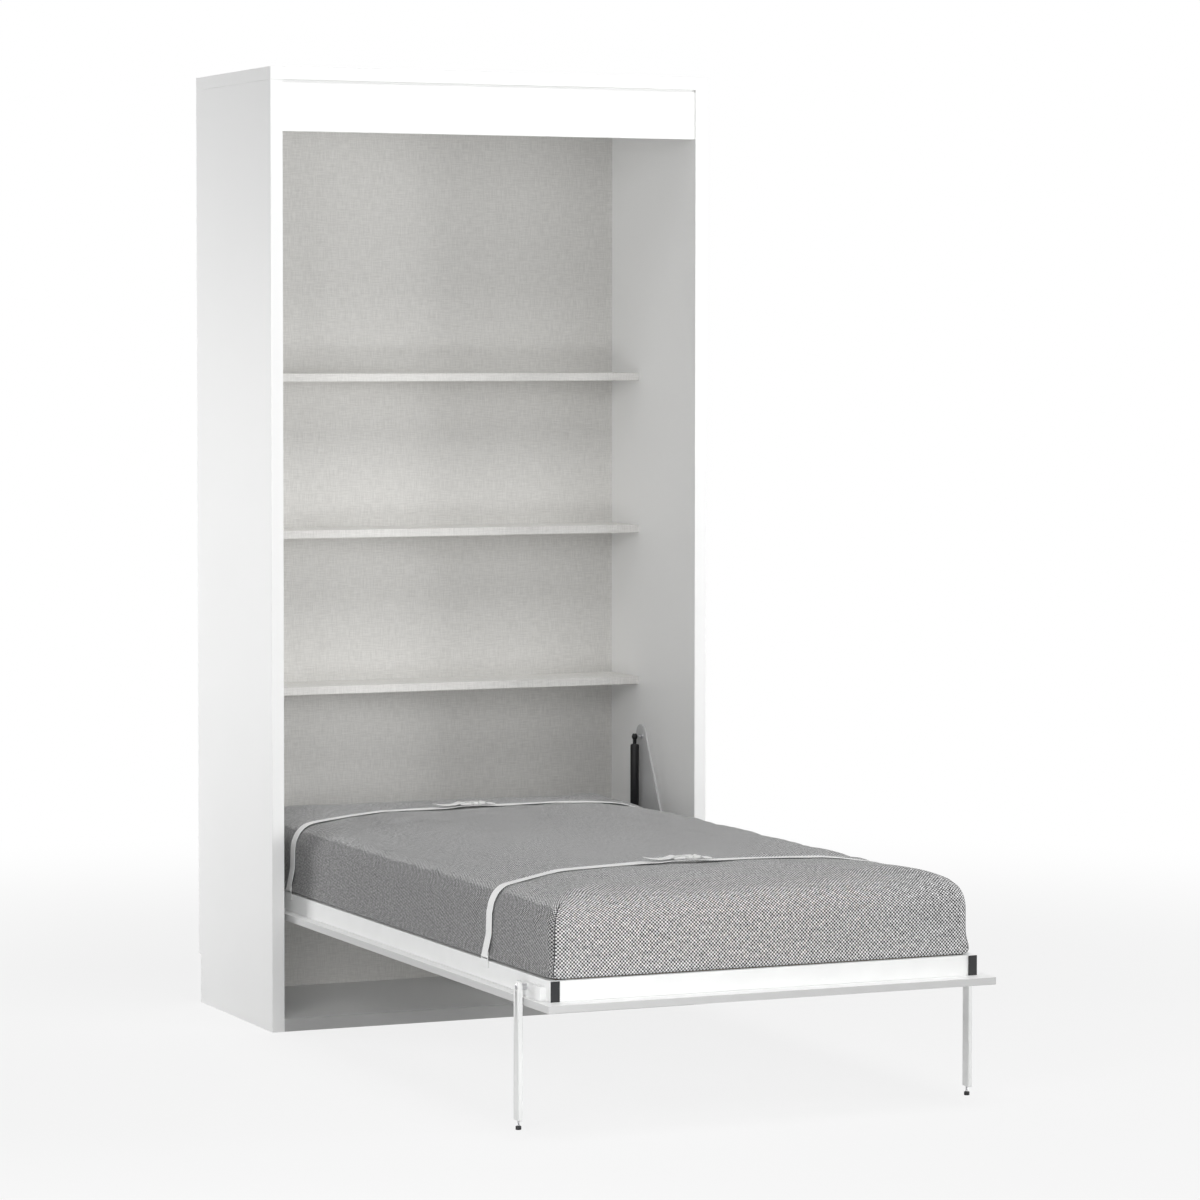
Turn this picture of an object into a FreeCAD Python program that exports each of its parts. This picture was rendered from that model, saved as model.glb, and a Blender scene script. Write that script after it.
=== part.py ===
import FreeCAD, Part
import math
import os

V = FreeCAD.Vector

# An upright wall bed in an open shelf cabinet, drawn with the bed let down and its legs out.
# X runs to the right, -Y out of the cabinet to the foot of the bed, and +Z up.
# The origin is the middle of the cabinet's base, on the floor. All sizes are millimetres.

# The mattress that the frame and cabinet are built round
mattress_width = 975.0
mattress_length = 1900.0

# Cabinet
cabinet_depth = 536.0
side_board = 30.0
top_board = 30.0
deck_board = 30.0
header_board = 19.0
header_height = 119.0
header_setback = 3.0      # behind the front edges of the side boards
header_groove = 6.0       # rebate along the header's face, under the top board
header_groove_depth = 3.0
back_board = 16.0
back_recess = 25.0        # behind the back panel, filled by the wall rails
skirting_depth = 16.0     # notch behind the side boards
skirting_height = 118.0
shelf_board = 19.0
shelf_depth = 165.0
shelf_count = 3
lowest_shelf_top = 779.0
shelf_pitch = 378.2
wall_rail_height = 110.0
upper_wall_rail_drop = 5.0      # below the top board
lower_wall_rail_bottom = 195.0
wall_hole_diameter = 8.0
wall_hole_spacing = 800.0

# Loose tongues in the board joints
tongue_length = 36.0
tongue_width = 40.0
tongue_thickness = 8.0
tongue_clearance = 0.05
tongue_edge_distance = 60.0
shelf_tongue_length = 24.0
shelf_tongue_width = 30.0
shelf_tongue_thickness = 6.0
shelf_tongue_edge_distance = 40.0
end_room = 0.5            # beyond the end of a tongue, screw, bolt or stud in its hole

# Bed panel and frame
door_underside = 257.5    # height of the panel's lower face, bed down
door_board = 16.0
door_setback = 1.0        # behind the cabinet's front, bed up
door_top_gap = 2.0        # to the header, bed up
door_head_gap = 9.0       # to the back panel, bed down
pivot_height = 409.0
frame_margin = 4.0        # frame outside the mattress, each side
frame_end_margin = 8.0
frame_foot_setback = 41.5       # foot end of the frame behind the panel's foot edge
frame_head_setback = 66.0       # and its head end in front of the panel's head edge
mechanism_room = 36.5     # side board to side rail, for the lift mechanism and the legs
rail_width = 20.0
rail_height = 42.5
tube_wall = 1.5
centre_rail_width = 20.0
cap_thickness = 2.0
cap_plug_length = 12.0
cap_clearance = 0.1
slat_count = 14
slat_width = 53.0
slat_board = 9.0
slat_drop = 0.5           # slat tops below the rail tops
slat_end_gap = 2.0
slat_clearance = 0.3
slat_end_margin = 6.0     # between the cross rails and the first holder
holder_length = 26.0
holder_wall = 3.0
bracket_leg = 30.0
bracket_steel = 2.5
bracket_room = 1.0        # under the slat holders
bracket_length = 40.0
brackets_per_rail = 3
door_screw_diameter = 4.5
door_screw_length = 14.0
door_screw_head = 10.0
door_screw_head_top = 6.0
door_screw_head_height = 3.0
door_screw_inset = 18.0   # inside the side rails
arm_screw_inset = 30.0    # from the ends of an arm's foot
screw_sides = 8           # the small screws and their holes have few flat sides

round_share = 0.98        # of the run that two neighbouring bends share

# Lift mechanism, measured inwards from the inner face of a side board
lift_plate_steel = 4.0
lift_plate_foot = 48.0          # in front of the pivot
lift_plate_below = 76.0
lift_plate_above = 42.0
lift_plate_rear = 66.0          # behind the top stud
lift_plate_corner = 20.0
fin_radius = 27.5
fin_offset = 9.0                # centre of the fin's tip behind the stud
fin_rise = 2.25                 # and above it
fin_front_slope = 0.491         # forward run of the front edge for each unit down
lift_screw_diameter = 5.0
lift_screw_head = 10.0
lift_screw_length = 22.0
pin_diameter = 16.0
pin_embedment = 16.0
pin_head_diameter = 22.0
pin_head_height = 1.5
running_fit = 0.05
bush_outer_diameter = 20.0
bush_flange_diameter = 27.0
bush_flange = 1.3
side_play = 0.1
arm_steel = 5.0
arm_boss_radius = 24.0
arm_front = 76.0                # foot of the arm in front of the pivot
arm_back = 124.0                # and behind it
arm_foot_height = 30.0
arm_flange = 5.0
arm_corner = 8.0
arm_hollow = 8.0                # inner bend between boss and foot
strut_inset = 24.0              # strut's axis from the side board
strut_top_depth = 300.0         # top stud behind the cabinet's front
strut_top_height = 631.0
strut_bottom_height = 297.0
strut_diameter = 21.5
strut_length = 205.0
strut_neck_diameter = 10.3
strut_neck_start = 18.0         # cylinder starts this far below the ball
strut_rod_diameter = 10.0
strut_rod_room = 56.0           # rod's end to the end of its bore, bed down
strut_bore_end = 10.0           # solid end above the bore
strut_chamfer = 1.6
socket_diameter = 14.0
socket_half_height = 8.0
socket_mouth_diameter = 7.4
socket_edge = 2.0
ball_diameter = 10.0
ball_neck_diameter = 6.0
ball_seat_diameter = 14.0
ball_seat_height = 5.0
lower_stud_gap = 0.3            # the open pivot: stud's face to socket's face
lower_stud_flange = 3.0

# Legs
leg_thickness = 9.5
leg_width = 27.0
leg_wall_gap = 0.8
leg_foot_distance = 139.5       # leg's axis behind the panel's foot edge
leg_bottom = 19.5
leg_bolt_diameter = 8.0
leg_bolt_head = 13.0
leg_bolt_head_depth = 4.0
leg_nut_flats = 13.0
leg_nut_height = 6.5
leg_bracket_thickness = 13.0
leg_bracket_height = 28.5
leg_bracket_front = 72.0        # in front of the bolt
leg_bracket_back = 16.0
foot_diameter = 12.0
foot_height = 8.4
foot_wall_gap = 0.4
foot_door_gap = 0.6
foot_stud_diameter = 5.0
foot_stud_length = 34.0
foot_chamfer = 0.8

# Mattress and straps
mattress_edge_height = 169.0
mattress_crown = 10.0
mattress_lift = 0.5             # above the rail tops
mattress_top_roll = 58.0
mattress_bottom_roll = 16.0
mattress_bulge = 2.0
mattress_corner = 30.0
mattress_draw_in_long = 3.0
mattress_draw_in_short = 2.0
strap_width = 30.0
strap_thickness = 1.4
strap_gap = 0.35
strap_hem = 36.0                # turned up and sewn above the anchor
strap_end_distance = 343.0      # strap centres from the mattress ends
anchor_width = 38.0
anchor_steel = 2.0
anchor_below = 15.0             # below the rail top
anchor_above = 11.0
anchor_slot_height = 4.0
anchor_slot_room = 1.0    # beside the webbing
anchor_bar = 4.0
anchor_corner = 4.0
buckle_length = 62.0
buckle_width = 40.0
buckle_height = 9.0
buckle_edge = 3.0
buckle_window = 8.0
buckle_offset = 30.0      # to the left of the bed's middle

# Places worked out from the sizes above, across the bed
frame_half_width = mattress_width / 2 + frame_margin
wall_x = frame_half_width + mechanism_room
half_width = wall_x + side_board
door_side_gap = foot_wall_gap + foot_diameter + foot_door_gap
door_half_width = wall_x - door_side_gap

# Along the bed, from the back panel to the foot
front_y = -cabinet_depth / 2
rear_y = cabinet_depth / 2
back_rear_y = rear_y - back_recess
back_face_y = back_rear_y - back_board
door_head_y = back_face_y - door_head_gap
frame_head_y = door_head_y - frame_head_setback
frame_foot_y = frame_head_y - mattress_length - 2 * frame_end_margin
door_foot_y = frame_foot_y - frame_foot_setback

# The panel's face stands door_setback behind the front when the bed is up, which puts the pivot
# as far behind the front as it lies above the panel, and the panel's length then sets the height.
pivot_depth = pivot_height - door_underside + door_setback
pivot_y = front_y + pivot_depth
door_reach = front_y - door_foot_y
header_bottom = pivot_height + pivot_depth + door_reach + door_top_gap
side_top = header_bottom + header_height
cabinet_height = side_top + top_board

door_top = door_underside + door_board
rail_top = door_top + rail_height
rail_inner_x = frame_half_width - rail_width
slat_top = rail_top - slat_drop
slat_bottom = slat_top - slat_board

strut_x = wall_x - strut_inset
strut_y = front_y + strut_top_depth
arm_outer_x = wall_x - lift_plate_steel - bush_flange - 2 * side_play
arm_inner_x = arm_outer_x - arm_steel

leg_outer_x = wall_x - leg_wall_gap
leg_inner_x = leg_outer_x - leg_thickness
leg_y = door_foot_y + leg_foot_distance
leg_pivot_z = door_top + rail_height / 2
leg_bracket_x = frame_half_width + leg_bracket_thickness
foot_x = wall_x - foot_wall_gap - foot_diameter / 2

mattress_bottom = rail_top + mattress_lift
mattress_foot_y = frame_foot_y + frame_end_margin
mattress_mid_y = mattress_foot_y + mattress_length / 2


def box(x0, x1, y0, y1, z0, z1):
    return Part.makeBox(x1 - x0, y1 - y0, z1 - z0, V(x0, y0, z0))


def round_bar(diameter, start, end):
    axis = end - start
    return Part.makeCylinder(diameter / 2, axis.Length, start, axis)


def mirrored(shape):
    return shape.mirror(V(0, 0, 0), V(1, 0, 0))


def both_sides(shapes):
    return shapes + [mirrored(shape) for shape in shapes]


def outline(corners, place):
    # A closed outline of straight runs; each corner (a, b, radius) is rounded by a tangent arc.
    count = len(corners)
    entries = []
    for i in range(count):
        a, b, radius = corners[i]
        here = place(a, b)
        back = (place(*corners[i - 1][:2]) - here).normalize()
        ahead = (place(*corners[(i + 1) % count][:2]) - here).normalize()
        half = back.getAngle(ahead) / 2
        reach = radius / math.tan(half)
        middle = (back + ahead).normalize()
        bow = radius / math.sin(half) - radius
        entries.append((here + back * reach, here + middle * bow, here + ahead * reach, radius))
    edges = []
    for i in range(count):
        start, bow, end, radius = entries[i]
        if radius > 0:
            edges.append(Part.Arc(start, bow, end).toShape())
        next_start = entries[(i + 1) % count][0]
        edges.append(Part.LineSegment(end, next_start).toShape())
    return Part.Wire(edges)


def side_plate(corners, x0, x1):
    # A flat plate parallel to the side boards, its corners given as (y, z, radius).
    wire = outline(corners, lambda y, z: V(x0, y, z))
    return Part.Face(wire).extrude(V(x1 - x0, 0, 0))


def square_tube(x0, x1, y0, y1, z0, z1, along):
    outer = box(x0, x1, y0, y1, z0, z1)
    w = tube_wall
    if along == "y":
        inner = box(x0 + w, x1 - w, y0, y1, z0 + w, z1 - w)
    else:
        inner = box(x0, x1, y0 + w, y1 - w, z0 + w, z1 - w)
    return outer.cut(inner)


def prism(start_diameter, end_diameter, start, end):
    # A bar or taper of few flat sides along X or Z, for the small screws.
    axis = (end - start).normalize()
    across = V(0, 1, 0)
    other = axis.cross(across)
    rings = []
    for diameter, centre in ((start_diameter, start), (end_diameter, end)):
        points = []
        for i in range(screw_sides):
            angle = 2 * math.pi * i / screw_sides
            spoke = across * math.cos(angle) + other * math.sin(angle)
            points.append(centre + spoke * (diameter / 2))
        rings.append(Part.makePolygon(points + points[:1]))
    return Part.makeLoft(rings, True, True)


def tongue(centre, along, thin, sizes):
    # A flat loose tongue in a joint: its centre, half sizes and the axis (0, 1 or 2) of its length.
    length, width, thickness = sizes
    half = [width / 2, width / 2, width / 2]
    half[along] = length / 2
    half[thin] = thickness / 2
    return centre, V(*half), along


def tongue_block(piece, side_room, length_room):
    centre, half, along = piece
    room = [side_room, side_room, side_room]
    room[along] = length_room
    reach = half + V(*room)
    low = centre - reach
    high = centre + reach
    return box(low.x, high.x, low.y, high.y, low.z, high.z)


def slotted(board, tongues):
    # Slots a little wider and longer than the tongues that stand in them.
    return board.cut([tongue_block(t, tongue_clearance, end_room) for t in tongues])


def spread(low, high, count):
    return [low + (high - low) * i / (count - 1) for i in range(count)]


nodes = {}


def add(name, shapes):
    group = shapes if isinstance(shapes, list) else [shapes]
    nodes[name] = group


def shelf_tops():
    return [lowest_shelf_top + shelf_pitch * i for i in range(shelf_count)]


def wall_rail_bottoms():
    return [lower_wall_rail_bottom, side_top - upper_wall_rail_drop - wall_rail_height]


def cabinet_tongues():
    # The top board, deck, header and wall rails all meet the side boards on loose tongues.
    sizes = (tongue_length, tongue_width, tongue_thickness)
    inset = side_board / 2
    places = []
    for y in spread(front_y + tongue_edge_distance, rear_y - tongue_edge_distance, 3):
        places.append((half_width - inset, y, side_top, 2, 0))
        places.append((wall_x, y, deck_board / 2, 0, 2))
    header_y = front_y + header_setback + header_board / 2
    places.append((wall_x, header_y, header_bottom + header_height / 2, 0, 1))
    for bottom in wall_rail_bottoms():
        middle = bottom + wall_rail_height / 2
        places.append((wall_x, rear_y - back_recess / 2, middle, 0, 1))
    tongues = []
    for x, y, z, along, thin in places:
        tongues.append(tongue(V(x, y, z), along, thin, sizes))
        tongues.append(tongue(V(-x, y, z), along, thin, sizes))
    return tongues


def shelf_tongues():
    sizes = (shelf_tongue_length, shelf_tongue_width, shelf_tongue_thickness)
    edge = shelf_tongue_edge_distance
    tongues = []
    for top in shelf_tops():
        z = top - shelf_board / 2
        for y in (back_face_y - shelf_depth + edge, back_face_y - edge):
            for x in (-wall_x, wall_x):
                tongues.append(tongue(V(x, y, z), 0, 2, sizes))
    return tongues


def lift_plate_corners():
    # A foot round the pivot, and a fin that rises to the top stud. The fin's front edge is tangent
    # to its rounded tip and leans forward on its way down.
    tip_y = strut_y + fin_offset
    tip_z = strut_top_height + fin_rise
    lean = math.atan(fin_front_slope)
    foot_top = pivot_height + lift_plate_above
    rear = strut_y + lift_plate_rear
    bottom = pivot_height - lift_plate_below
    edge_y = tip_y - fin_radius * math.cos(lean)
    edge_z = tip_z + fin_radius * math.sin(lean)
    knee_y = edge_y - (edge_z - foot_top) * fin_front_slope
    peak_z = tip_z + fin_radius
    peak_front_y = edge_y + (peak_z - edge_z) * fin_front_slope
    peak_rear_y = tip_y + fin_radius
    peak_angle = math.pi / 2 + lean
    front_radius = (tip_y - peak_front_y) / math.tan((math.pi - peak_angle) / 2)
    r = lift_plate_corner
    return [
        (pivot_y - lift_plate_foot, bottom, r),
        (rear, bottom, r),
        (rear, foot_top, r),
        (peak_rear_y, tip_z - fin_radius, fin_radius),
        (peak_rear_y, peak_z, fin_radius * round_share),
        (peak_front_y, peak_z, front_radius * round_share),
        (knee_y, foot_top, r),
        (pivot_y - lift_plate_foot, foot_top, r),
    ]


def lift_screw_places():
    rear = strut_y + lift_plate_rear - lift_plate_corner
    low = pivot_height - lift_plate_below + lift_plate_corner
    high = pivot_height + lift_plate_above - lift_plate_corner
    front = pivot_y - lift_plate_foot + lift_plate_corner
    tip = (strut_y + fin_offset, strut_top_height - 2 * fin_radius)
    return [(front, low), (rear, low), (rear, high), tip]


def lift_screw(y, z, gap=0.0, room=0.0):
    # A countersunk screw, its head flush with the lift plate, or its hole with a gap and end room.
    face = wall_x - lift_plate_steel
    depth = (lift_screw_head - lift_screw_diameter) / 2
    shank = lift_screw_diameter + gap
    neck = V(face + depth, y, z)
    head = prism(lift_screw_head + gap, shank, V(face, y, z), neck)
    return head.fuse(prism(shank, shank, neck, V(face + lift_screw_length + room, y, z)))


def lift_screw_holes():
    return [lift_screw(y, z, 2 * running_fit, end_room) for y, z in lift_screw_places()]


def pivot_hole(diameter, x0, x1):
    return round_bar(diameter, V(x0, pivot_y, pivot_height), V(x1, pivot_y, pivot_height))


def make_cabinet():
    tongues = cabinet_tongues()
    shelf_ends = shelf_tongues()
    side = box(wall_x, half_width, front_y, rear_y, 0, side_top)
    side = side.cut(box(wall_x, half_width, rear_y - skirting_depth, rear_y, 0, skirting_height))
    pin_end = wall_x + pin_embedment + end_room
    side = side.cut(lift_screw_holes())
    side = side.cut(pivot_hole(pin_diameter + 2 * running_fit, wall_x, pin_end))
    side = slotted(side, [t for t in tongues + shelf_ends if t[0].x > 0])
    add("side_panel_right", side)
    add("side_panel_left", mirrored(side))
    top = box(-half_width, half_width, front_y, rear_y, side_top, cabinet_height)
    add("top_panel", slotted(top, tongues))
    deck = box(-wall_x, wall_x, front_y, back_rear_y, 0, deck_board)
    add("deck_panel", slotted(deck, tongues))
    header_face = front_y + header_setback
    header = box(-wall_x, wall_x, header_face, header_face + header_board, header_bottom, side_top)
    header = header.cut(box(-wall_x, wall_x, header_face, header_face + header_groove_depth,
                            side_top - header_groove, side_top))
    add("header_panel", slotted(header, tongues))
    fixings = wall_fixing_holes()
    back = box(-wall_x, wall_x, back_face_y, back_rear_y, deck_board, side_top)
    add("back_panel", back.cut(fixings))
    names = ["shelf_lower", "shelf_middle", "shelf_upper"]
    for i, shelf_top in enumerate(shelf_tops()):
        board = box(-wall_x, wall_x, back_face_y - shelf_depth, back_face_y,
                    shelf_top - shelf_board, shelf_top)
        add(names[i] if i < len(names) else "shelf_%d" % (i + 1), slotted(board, shelf_ends))
    for name, bottom in zip(("wall_rail_lower", "wall_rail_upper"), wall_rail_bottoms()):
        rail = box(-wall_x, wall_x, back_rear_y, rear_y, bottom, bottom + wall_rail_height)
        add(name, slotted(rail, tongues).cut(fixings))
    add("panel_tongues", [tongue_block(t, 0, 0) for t in tongues])
    add("shelf_tongues", [tongue_block(t, 0, 0) for t in shelf_ends])


def wall_fixing_holes():
    holes = []
    for bottom in wall_rail_bottoms():
        z = bottom + wall_rail_height / 2
        for x in (-wall_hole_spacing / 2, wall_hole_spacing / 2):
            holes.append(round_bar(wall_hole_diameter, V(x, back_face_y, z), V(x, rear_y, z)))
    return holes


def ball_stud():
    # A turned stud on the lift plate: a seat, a neck and the ball that the strut's socket holds.
    seat_x = wall_x - lift_plate_steel
    centre = V(strut_x, strut_y, strut_top_height)
    neck_start = V(seat_x - ball_seat_height, strut_y, strut_top_height)
    seat = round_bar(ball_seat_diameter, V(seat_x, strut_y, strut_top_height), neck_start)
    neck = round_bar(ball_neck_diameter, neck_start, centre)
    ball = Part.makeSphere(ball_diameter / 2, centre, V(1, 0, 0))
    return seat.fuse([neck, ball]).removeSplitter()


def make_lift_plates():
    plate = side_plate(lift_plate_corners(), wall_x - lift_plate_steel, wall_x)
    plate = plate.cut(lift_screw_holes())
    plate = plate.cut(pivot_hole(pin_diameter + 2 * running_fit, wall_x - lift_plate_steel, wall_x))
    add("lift_plate_right", plate)
    add("lift_plate_left", mirrored(plate))
    add("lift_plate_screws", both_sides([lift_screw(y, z) for y, z in lift_screw_places()]))
    head_x = arm_inner_x - side_play
    shank = pivot_hole(pin_diameter, head_x, wall_x + pin_embedment)
    head = pivot_hole(pin_head_diameter, head_x - pin_head_height, head_x)
    add("pivot_pins", both_sides([shank.fuse(head).removeSplitter()]))
    add("top_ball_studs", both_sides([ball_stud()]))


def make_struts():
    # The socket is bored from the side board's side: a seat round the ball and a mouth for its neck.
    seat_radius = ball_diameter / 2 + running_fit
    top = V(strut_x, strut_y, strut_top_height)
    body_top = strut_top_height - strut_neck_start
    body_bottom = body_top - strut_length
    neck = round_bar(strut_neck_diameter, V(strut_x, strut_y, body_top), top)
    tube = round_bar(strut_diameter, V(strut_x, strut_y, body_bottom), V(strut_x, strut_y, body_top))
    rims = [e for e in tube.Edges if isinstance(e.Curve, Part.Circle)]
    tube = tube.makeChamfer(strut_chamfer, rims)
    body = tube.fuse([neck, socket_blank(top)]).removeSplitter()
    seat_reach = V(seat_radius, 0, 0)
    seat = round_bar(2 * seat_radius, top - seat_reach, top + seat_reach)
    mouth = round_bar(socket_mouth_diameter, top, top + V(socket_diameter, 0, 0))
    body = body.cut([seat, mouth])
    bore = strut_rod_diameter + 2 * running_fit
    bore_top = V(strut_x, strut_y, body_top - strut_bore_end)
    body = body.cut(round_bar(bore, V(strut_x, strut_y, body_bottom), bore_top))
    add("strut_cylinder_right", body)
    add("strut_cylinder_left", mirrored(body))
    bottom = V(strut_x, strut_y, strut_bottom_height)
    rod_top = bore_top - V(0, 0, strut_rod_room)
    rod = round_bar(strut_rod_diameter, bottom, rod_top).fuse(socket_blank(bottom)).removeSplitter()
    add("strut_rod_right", rod)
    add("strut_rod_left", mirrored(rod))


def socket_blank(centre):
    half = V(0, 0, socket_half_height)
    blank = round_bar(socket_diameter, centre - half, centre + half)
    rims = [e for e in blank.Edges if isinstance(e.Curve, Part.Circle)]
    return blank.makeChamfer(socket_edge, rims)


def make_arms():
    # Each arm hangs from the pivot pin on a nylon bush, and its foot is turned in over the panel
    # and against the side rail.
    foot_front = pivot_y - arm_front
    foot_back = pivot_y + arm_back
    foot_top = door_top + arm_foot_height
    boss = arm_boss_radius
    corners = [
        (foot_front, door_top, arm_corner),
        (foot_back, door_top, arm_corner),
        (foot_back, foot_top, arm_corner),
        (pivot_y + boss, pivot_height, arm_hollow),
        (pivot_y + boss, pivot_height + boss, boss * round_share),
        (pivot_y - boss, pivot_height + boss, boss * round_share),
        (pivot_y - boss, pivot_height, arm_hollow),
        (foot_front, foot_top, arm_corner),
    ]
    web = side_plate(corners, arm_inner_x, arm_outer_x)
    flange = box(frame_half_width, arm_inner_x, foot_front + arm_corner, foot_back - arm_corner,
                 door_top, door_top + arm_flange)
    arm = web.fuse(flange).removeSplitter()
    arm = arm.cut(pivot_hole(bush_outer_diameter + 2 * running_fit, arm_inner_x, arm_outer_x))
    arm = arm.cut(door_screw_holes())
    add("lift_arm_right", arm)
    add("lift_arm_left", mirrored(arm))
    sleeve = pivot_hole(bush_outer_diameter, arm_inner_x, arm_outer_x)
    flange_end = arm_outer_x + side_play + bush_flange
    collar = pivot_hole(bush_flange_diameter, arm_outer_x, flange_end)
    bush = sleeve.fuse(collar).removeSplitter()
    bush = bush.cut(pivot_hole(pin_diameter + 2 * running_fit, arm_inner_x, flange_end))
    add("pivot_bushes", both_sides([bush]))
    # The lower stud ends just short of the rod's socket: here the linkage is open.
    centre = (strut_y, strut_bottom_height)
    flange_x = frame_half_width + lower_stud_flange
    tip_x = strut_x - socket_diameter / 2 - lower_stud_gap
    seat = round_bar(ball_seat_diameter, V(frame_half_width, *centre), V(flange_x, *centre))
    neck = round_bar(ball_neck_diameter, V(flange_x, *centre), V(tip_x, *centre))
    add("lower_strut_studs", both_sides([seat.fuse(neck).removeSplitter()]))


def door_screw_holes():
    diameter = door_screw_diameter + 2 * running_fit
    holes = []
    for x, y, steel in door_screw_places():
        seat = V(x, y, door_top + steel)
        holes.append(prism(diameter, diameter, seat - V(0, 0, door_screw_length + end_room), seat))
    return holes


def bracket_ys():
    first = frame_foot_y + 2 * bracket_length
    last = frame_head_y - 2 * bracket_length
    return spread(first, last, brackets_per_rail)


def door_screw_places():
    # Each screw's place and the steel under its head: the angle brackets and the arms' feet.
    x = rail_inner_x - door_screw_inset
    arm_x = (frame_half_width + arm_inner_x) / 2
    arm_ys = (pivot_y - arm_front + arm_screw_inset, pivot_y + arm_back - arm_screw_inset)
    places = [(x, y, bracket_steel) for y in bracket_ys()]
    places += [(arm_x, y, arm_flange) for y in arm_ys]
    return places + [(-x, y, steel) for x, y, steel in places]


def make_bed_frame():
    door = box(-door_half_width, door_half_width, door_foot_y, door_head_y, door_underside, door_top)
    add("door_panel", door.cut(door_screw_holes()))
    rail_foot = frame_foot_y + cap_thickness
    rail_head = frame_head_y - cap_thickness
    rail = square_tube(rail_inner_x, frame_half_width, rail_foot, rail_head, door_top, rail_top, "y")
    add("side_rail_right", rail)
    add("side_rail_left", mirrored(rail))
    add("foot_rail", square_tube(-rail_inner_x, rail_inner_x, rail_foot, rail_foot + rail_width,
                                 door_top, rail_top, "x"))
    add("head_rail", square_tube(-rail_inner_x, rail_inner_x, rail_head - rail_width, rail_head,
                                 door_top, rail_top, "x"))
    half = centre_rail_width / 2
    add("centre_rail", square_tube(-half, half, rail_foot + rail_width, rail_head - rail_width,
                                   door_top, slat_bottom, "y"))
    add("rail_end_caps", both_sides([end_cap(frame_foot_y, 1), end_cap(frame_head_y, -1)]))
    make_slats(rail_foot + rail_width, rail_head - rail_width)
    steel = bracket_steel
    angles = []
    for y in bracket_ys():
        y0 = y - bracket_length / 2
        y1 = y + bracket_length / 2
        top = slat_bottom - holder_wall - bracket_room
        upright = box(rail_inner_x - steel, rail_inner_x, y0, y1, door_top, top)
        flat = box(rail_inner_x - bracket_leg, rail_inner_x - steel, y0, y1, door_top, door_top + steel)
        angle = upright.fuse(flat).removeSplitter()
        angles.append(angle.cut(door_screw_holes()))
    add("panel_brackets", both_sides(angles))
    screws = []
    for x, y, steel in door_screw_places():
        seat = V(x, y, door_top + steel)
        end = seat - V(0, 0, door_screw_length)
        shank = prism(door_screw_diameter, door_screw_diameter, end, seat)
        top = seat + V(0, 0, door_screw_head_height)
        screws.append(shank.fuse(prism(door_screw_head, door_screw_head_top, seat, top)))
    add("panel_screws", screws)


def end_cap(end_y, inward):
    # A plastic plug in the open end of a side rail, with a face the size of the tube.
    face_y = end_y + inward * cap_thickness
    plug_y = face_y + inward * cap_plug_length
    face = box(rail_inner_x, frame_half_width, min(end_y, face_y), max(end_y, face_y), door_top, rail_top)
    w = tube_wall + cap_clearance
    plug = box(rail_inner_x + w, frame_half_width - w, min(face_y, plug_y), max(face_y, plug_y),
               door_top + w, rail_top - w)
    return face.fuse(plug).removeSplitter()


def make_slats(first_y, last_y):
    slats = []
    holders = []
    half_length = rail_inner_x - slat_end_gap
    margin = slat_width / 2 + holder_wall + slat_end_margin
    for y in spread(first_y + margin, last_y - margin, slat_count):
        y0 = y - slat_width / 2
        y1 = y + slat_width / 2
        slats.append(box(-half_length, half_length, y0, y1, slat_bottom, slat_top))
        gap = slat_clearance
        body = box(rail_inner_x - holder_length, rail_inner_x, y0 - gap - holder_wall,
                   y1 + gap + holder_wall, slat_bottom - holder_wall, slat_top)
        pocket = box(rail_inner_x - holder_length, rail_inner_x - slat_end_gap + gap,
                     y0 - gap, y1 + gap, slat_bottom, slat_top)
        holders.append(body.cut(pocket))
    add("slats", slats)
    add("slat_holders", both_sides(holders))


def make_legs():
    axis_end = V(leg_inner_x, leg_y, leg_pivot_z)
    axis_start = V(leg_outer_x, leg_y, leg_pivot_z)
    half = leg_width / 2
    bar = box(leg_inner_x, leg_outer_x, leg_y - half, leg_y + half, leg_bottom, leg_pivot_z)
    leg = bar.fuse(round_bar(leg_width, axis_end, axis_start)).removeSplitter()
    head_room = V(leg_bolt_head_depth + side_play, 0, 0)
    leg = leg.cut([round_bar(leg_bolt_diameter + 2 * running_fit, axis_end, axis_start),
                   round_bar(leg_bolt_head + 2 * side_play, axis_start - head_room, axis_start)])
    stud_top = foot_height + foot_stud_length
    stud_hole_top = stud_top + end_room
    leg = leg.cut(round_bar(foot_stud_diameter + 2 * running_fit, V(foot_x, leg_y, leg_bottom),
                            V(foot_x, leg_y, stud_hole_top)))
    add("leg_right", leg)
    add("leg_left", mirrored(leg))
    disc = round_bar(foot_diameter, V(foot_x, leg_y, 0), V(foot_x, leg_y, foot_height))
    rims = [e for e in disc.Edges if isinstance(e.Curve, Part.Circle)]
    disc = disc.makeChamfer(foot_chamfer, [e for e in rims if e.Curve.Center.z < foot_height / 2])
    stud = round_bar(foot_stud_diameter, V(foot_x, leg_y, foot_height), V(foot_x, leg_y, stud_top))
    foot = disc.fuse(stud).removeSplitter()
    add("levelling_foot_right", foot)
    add("levelling_foot_left", mirrored(foot))
    make_leg_fixings(axis_start)


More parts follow.
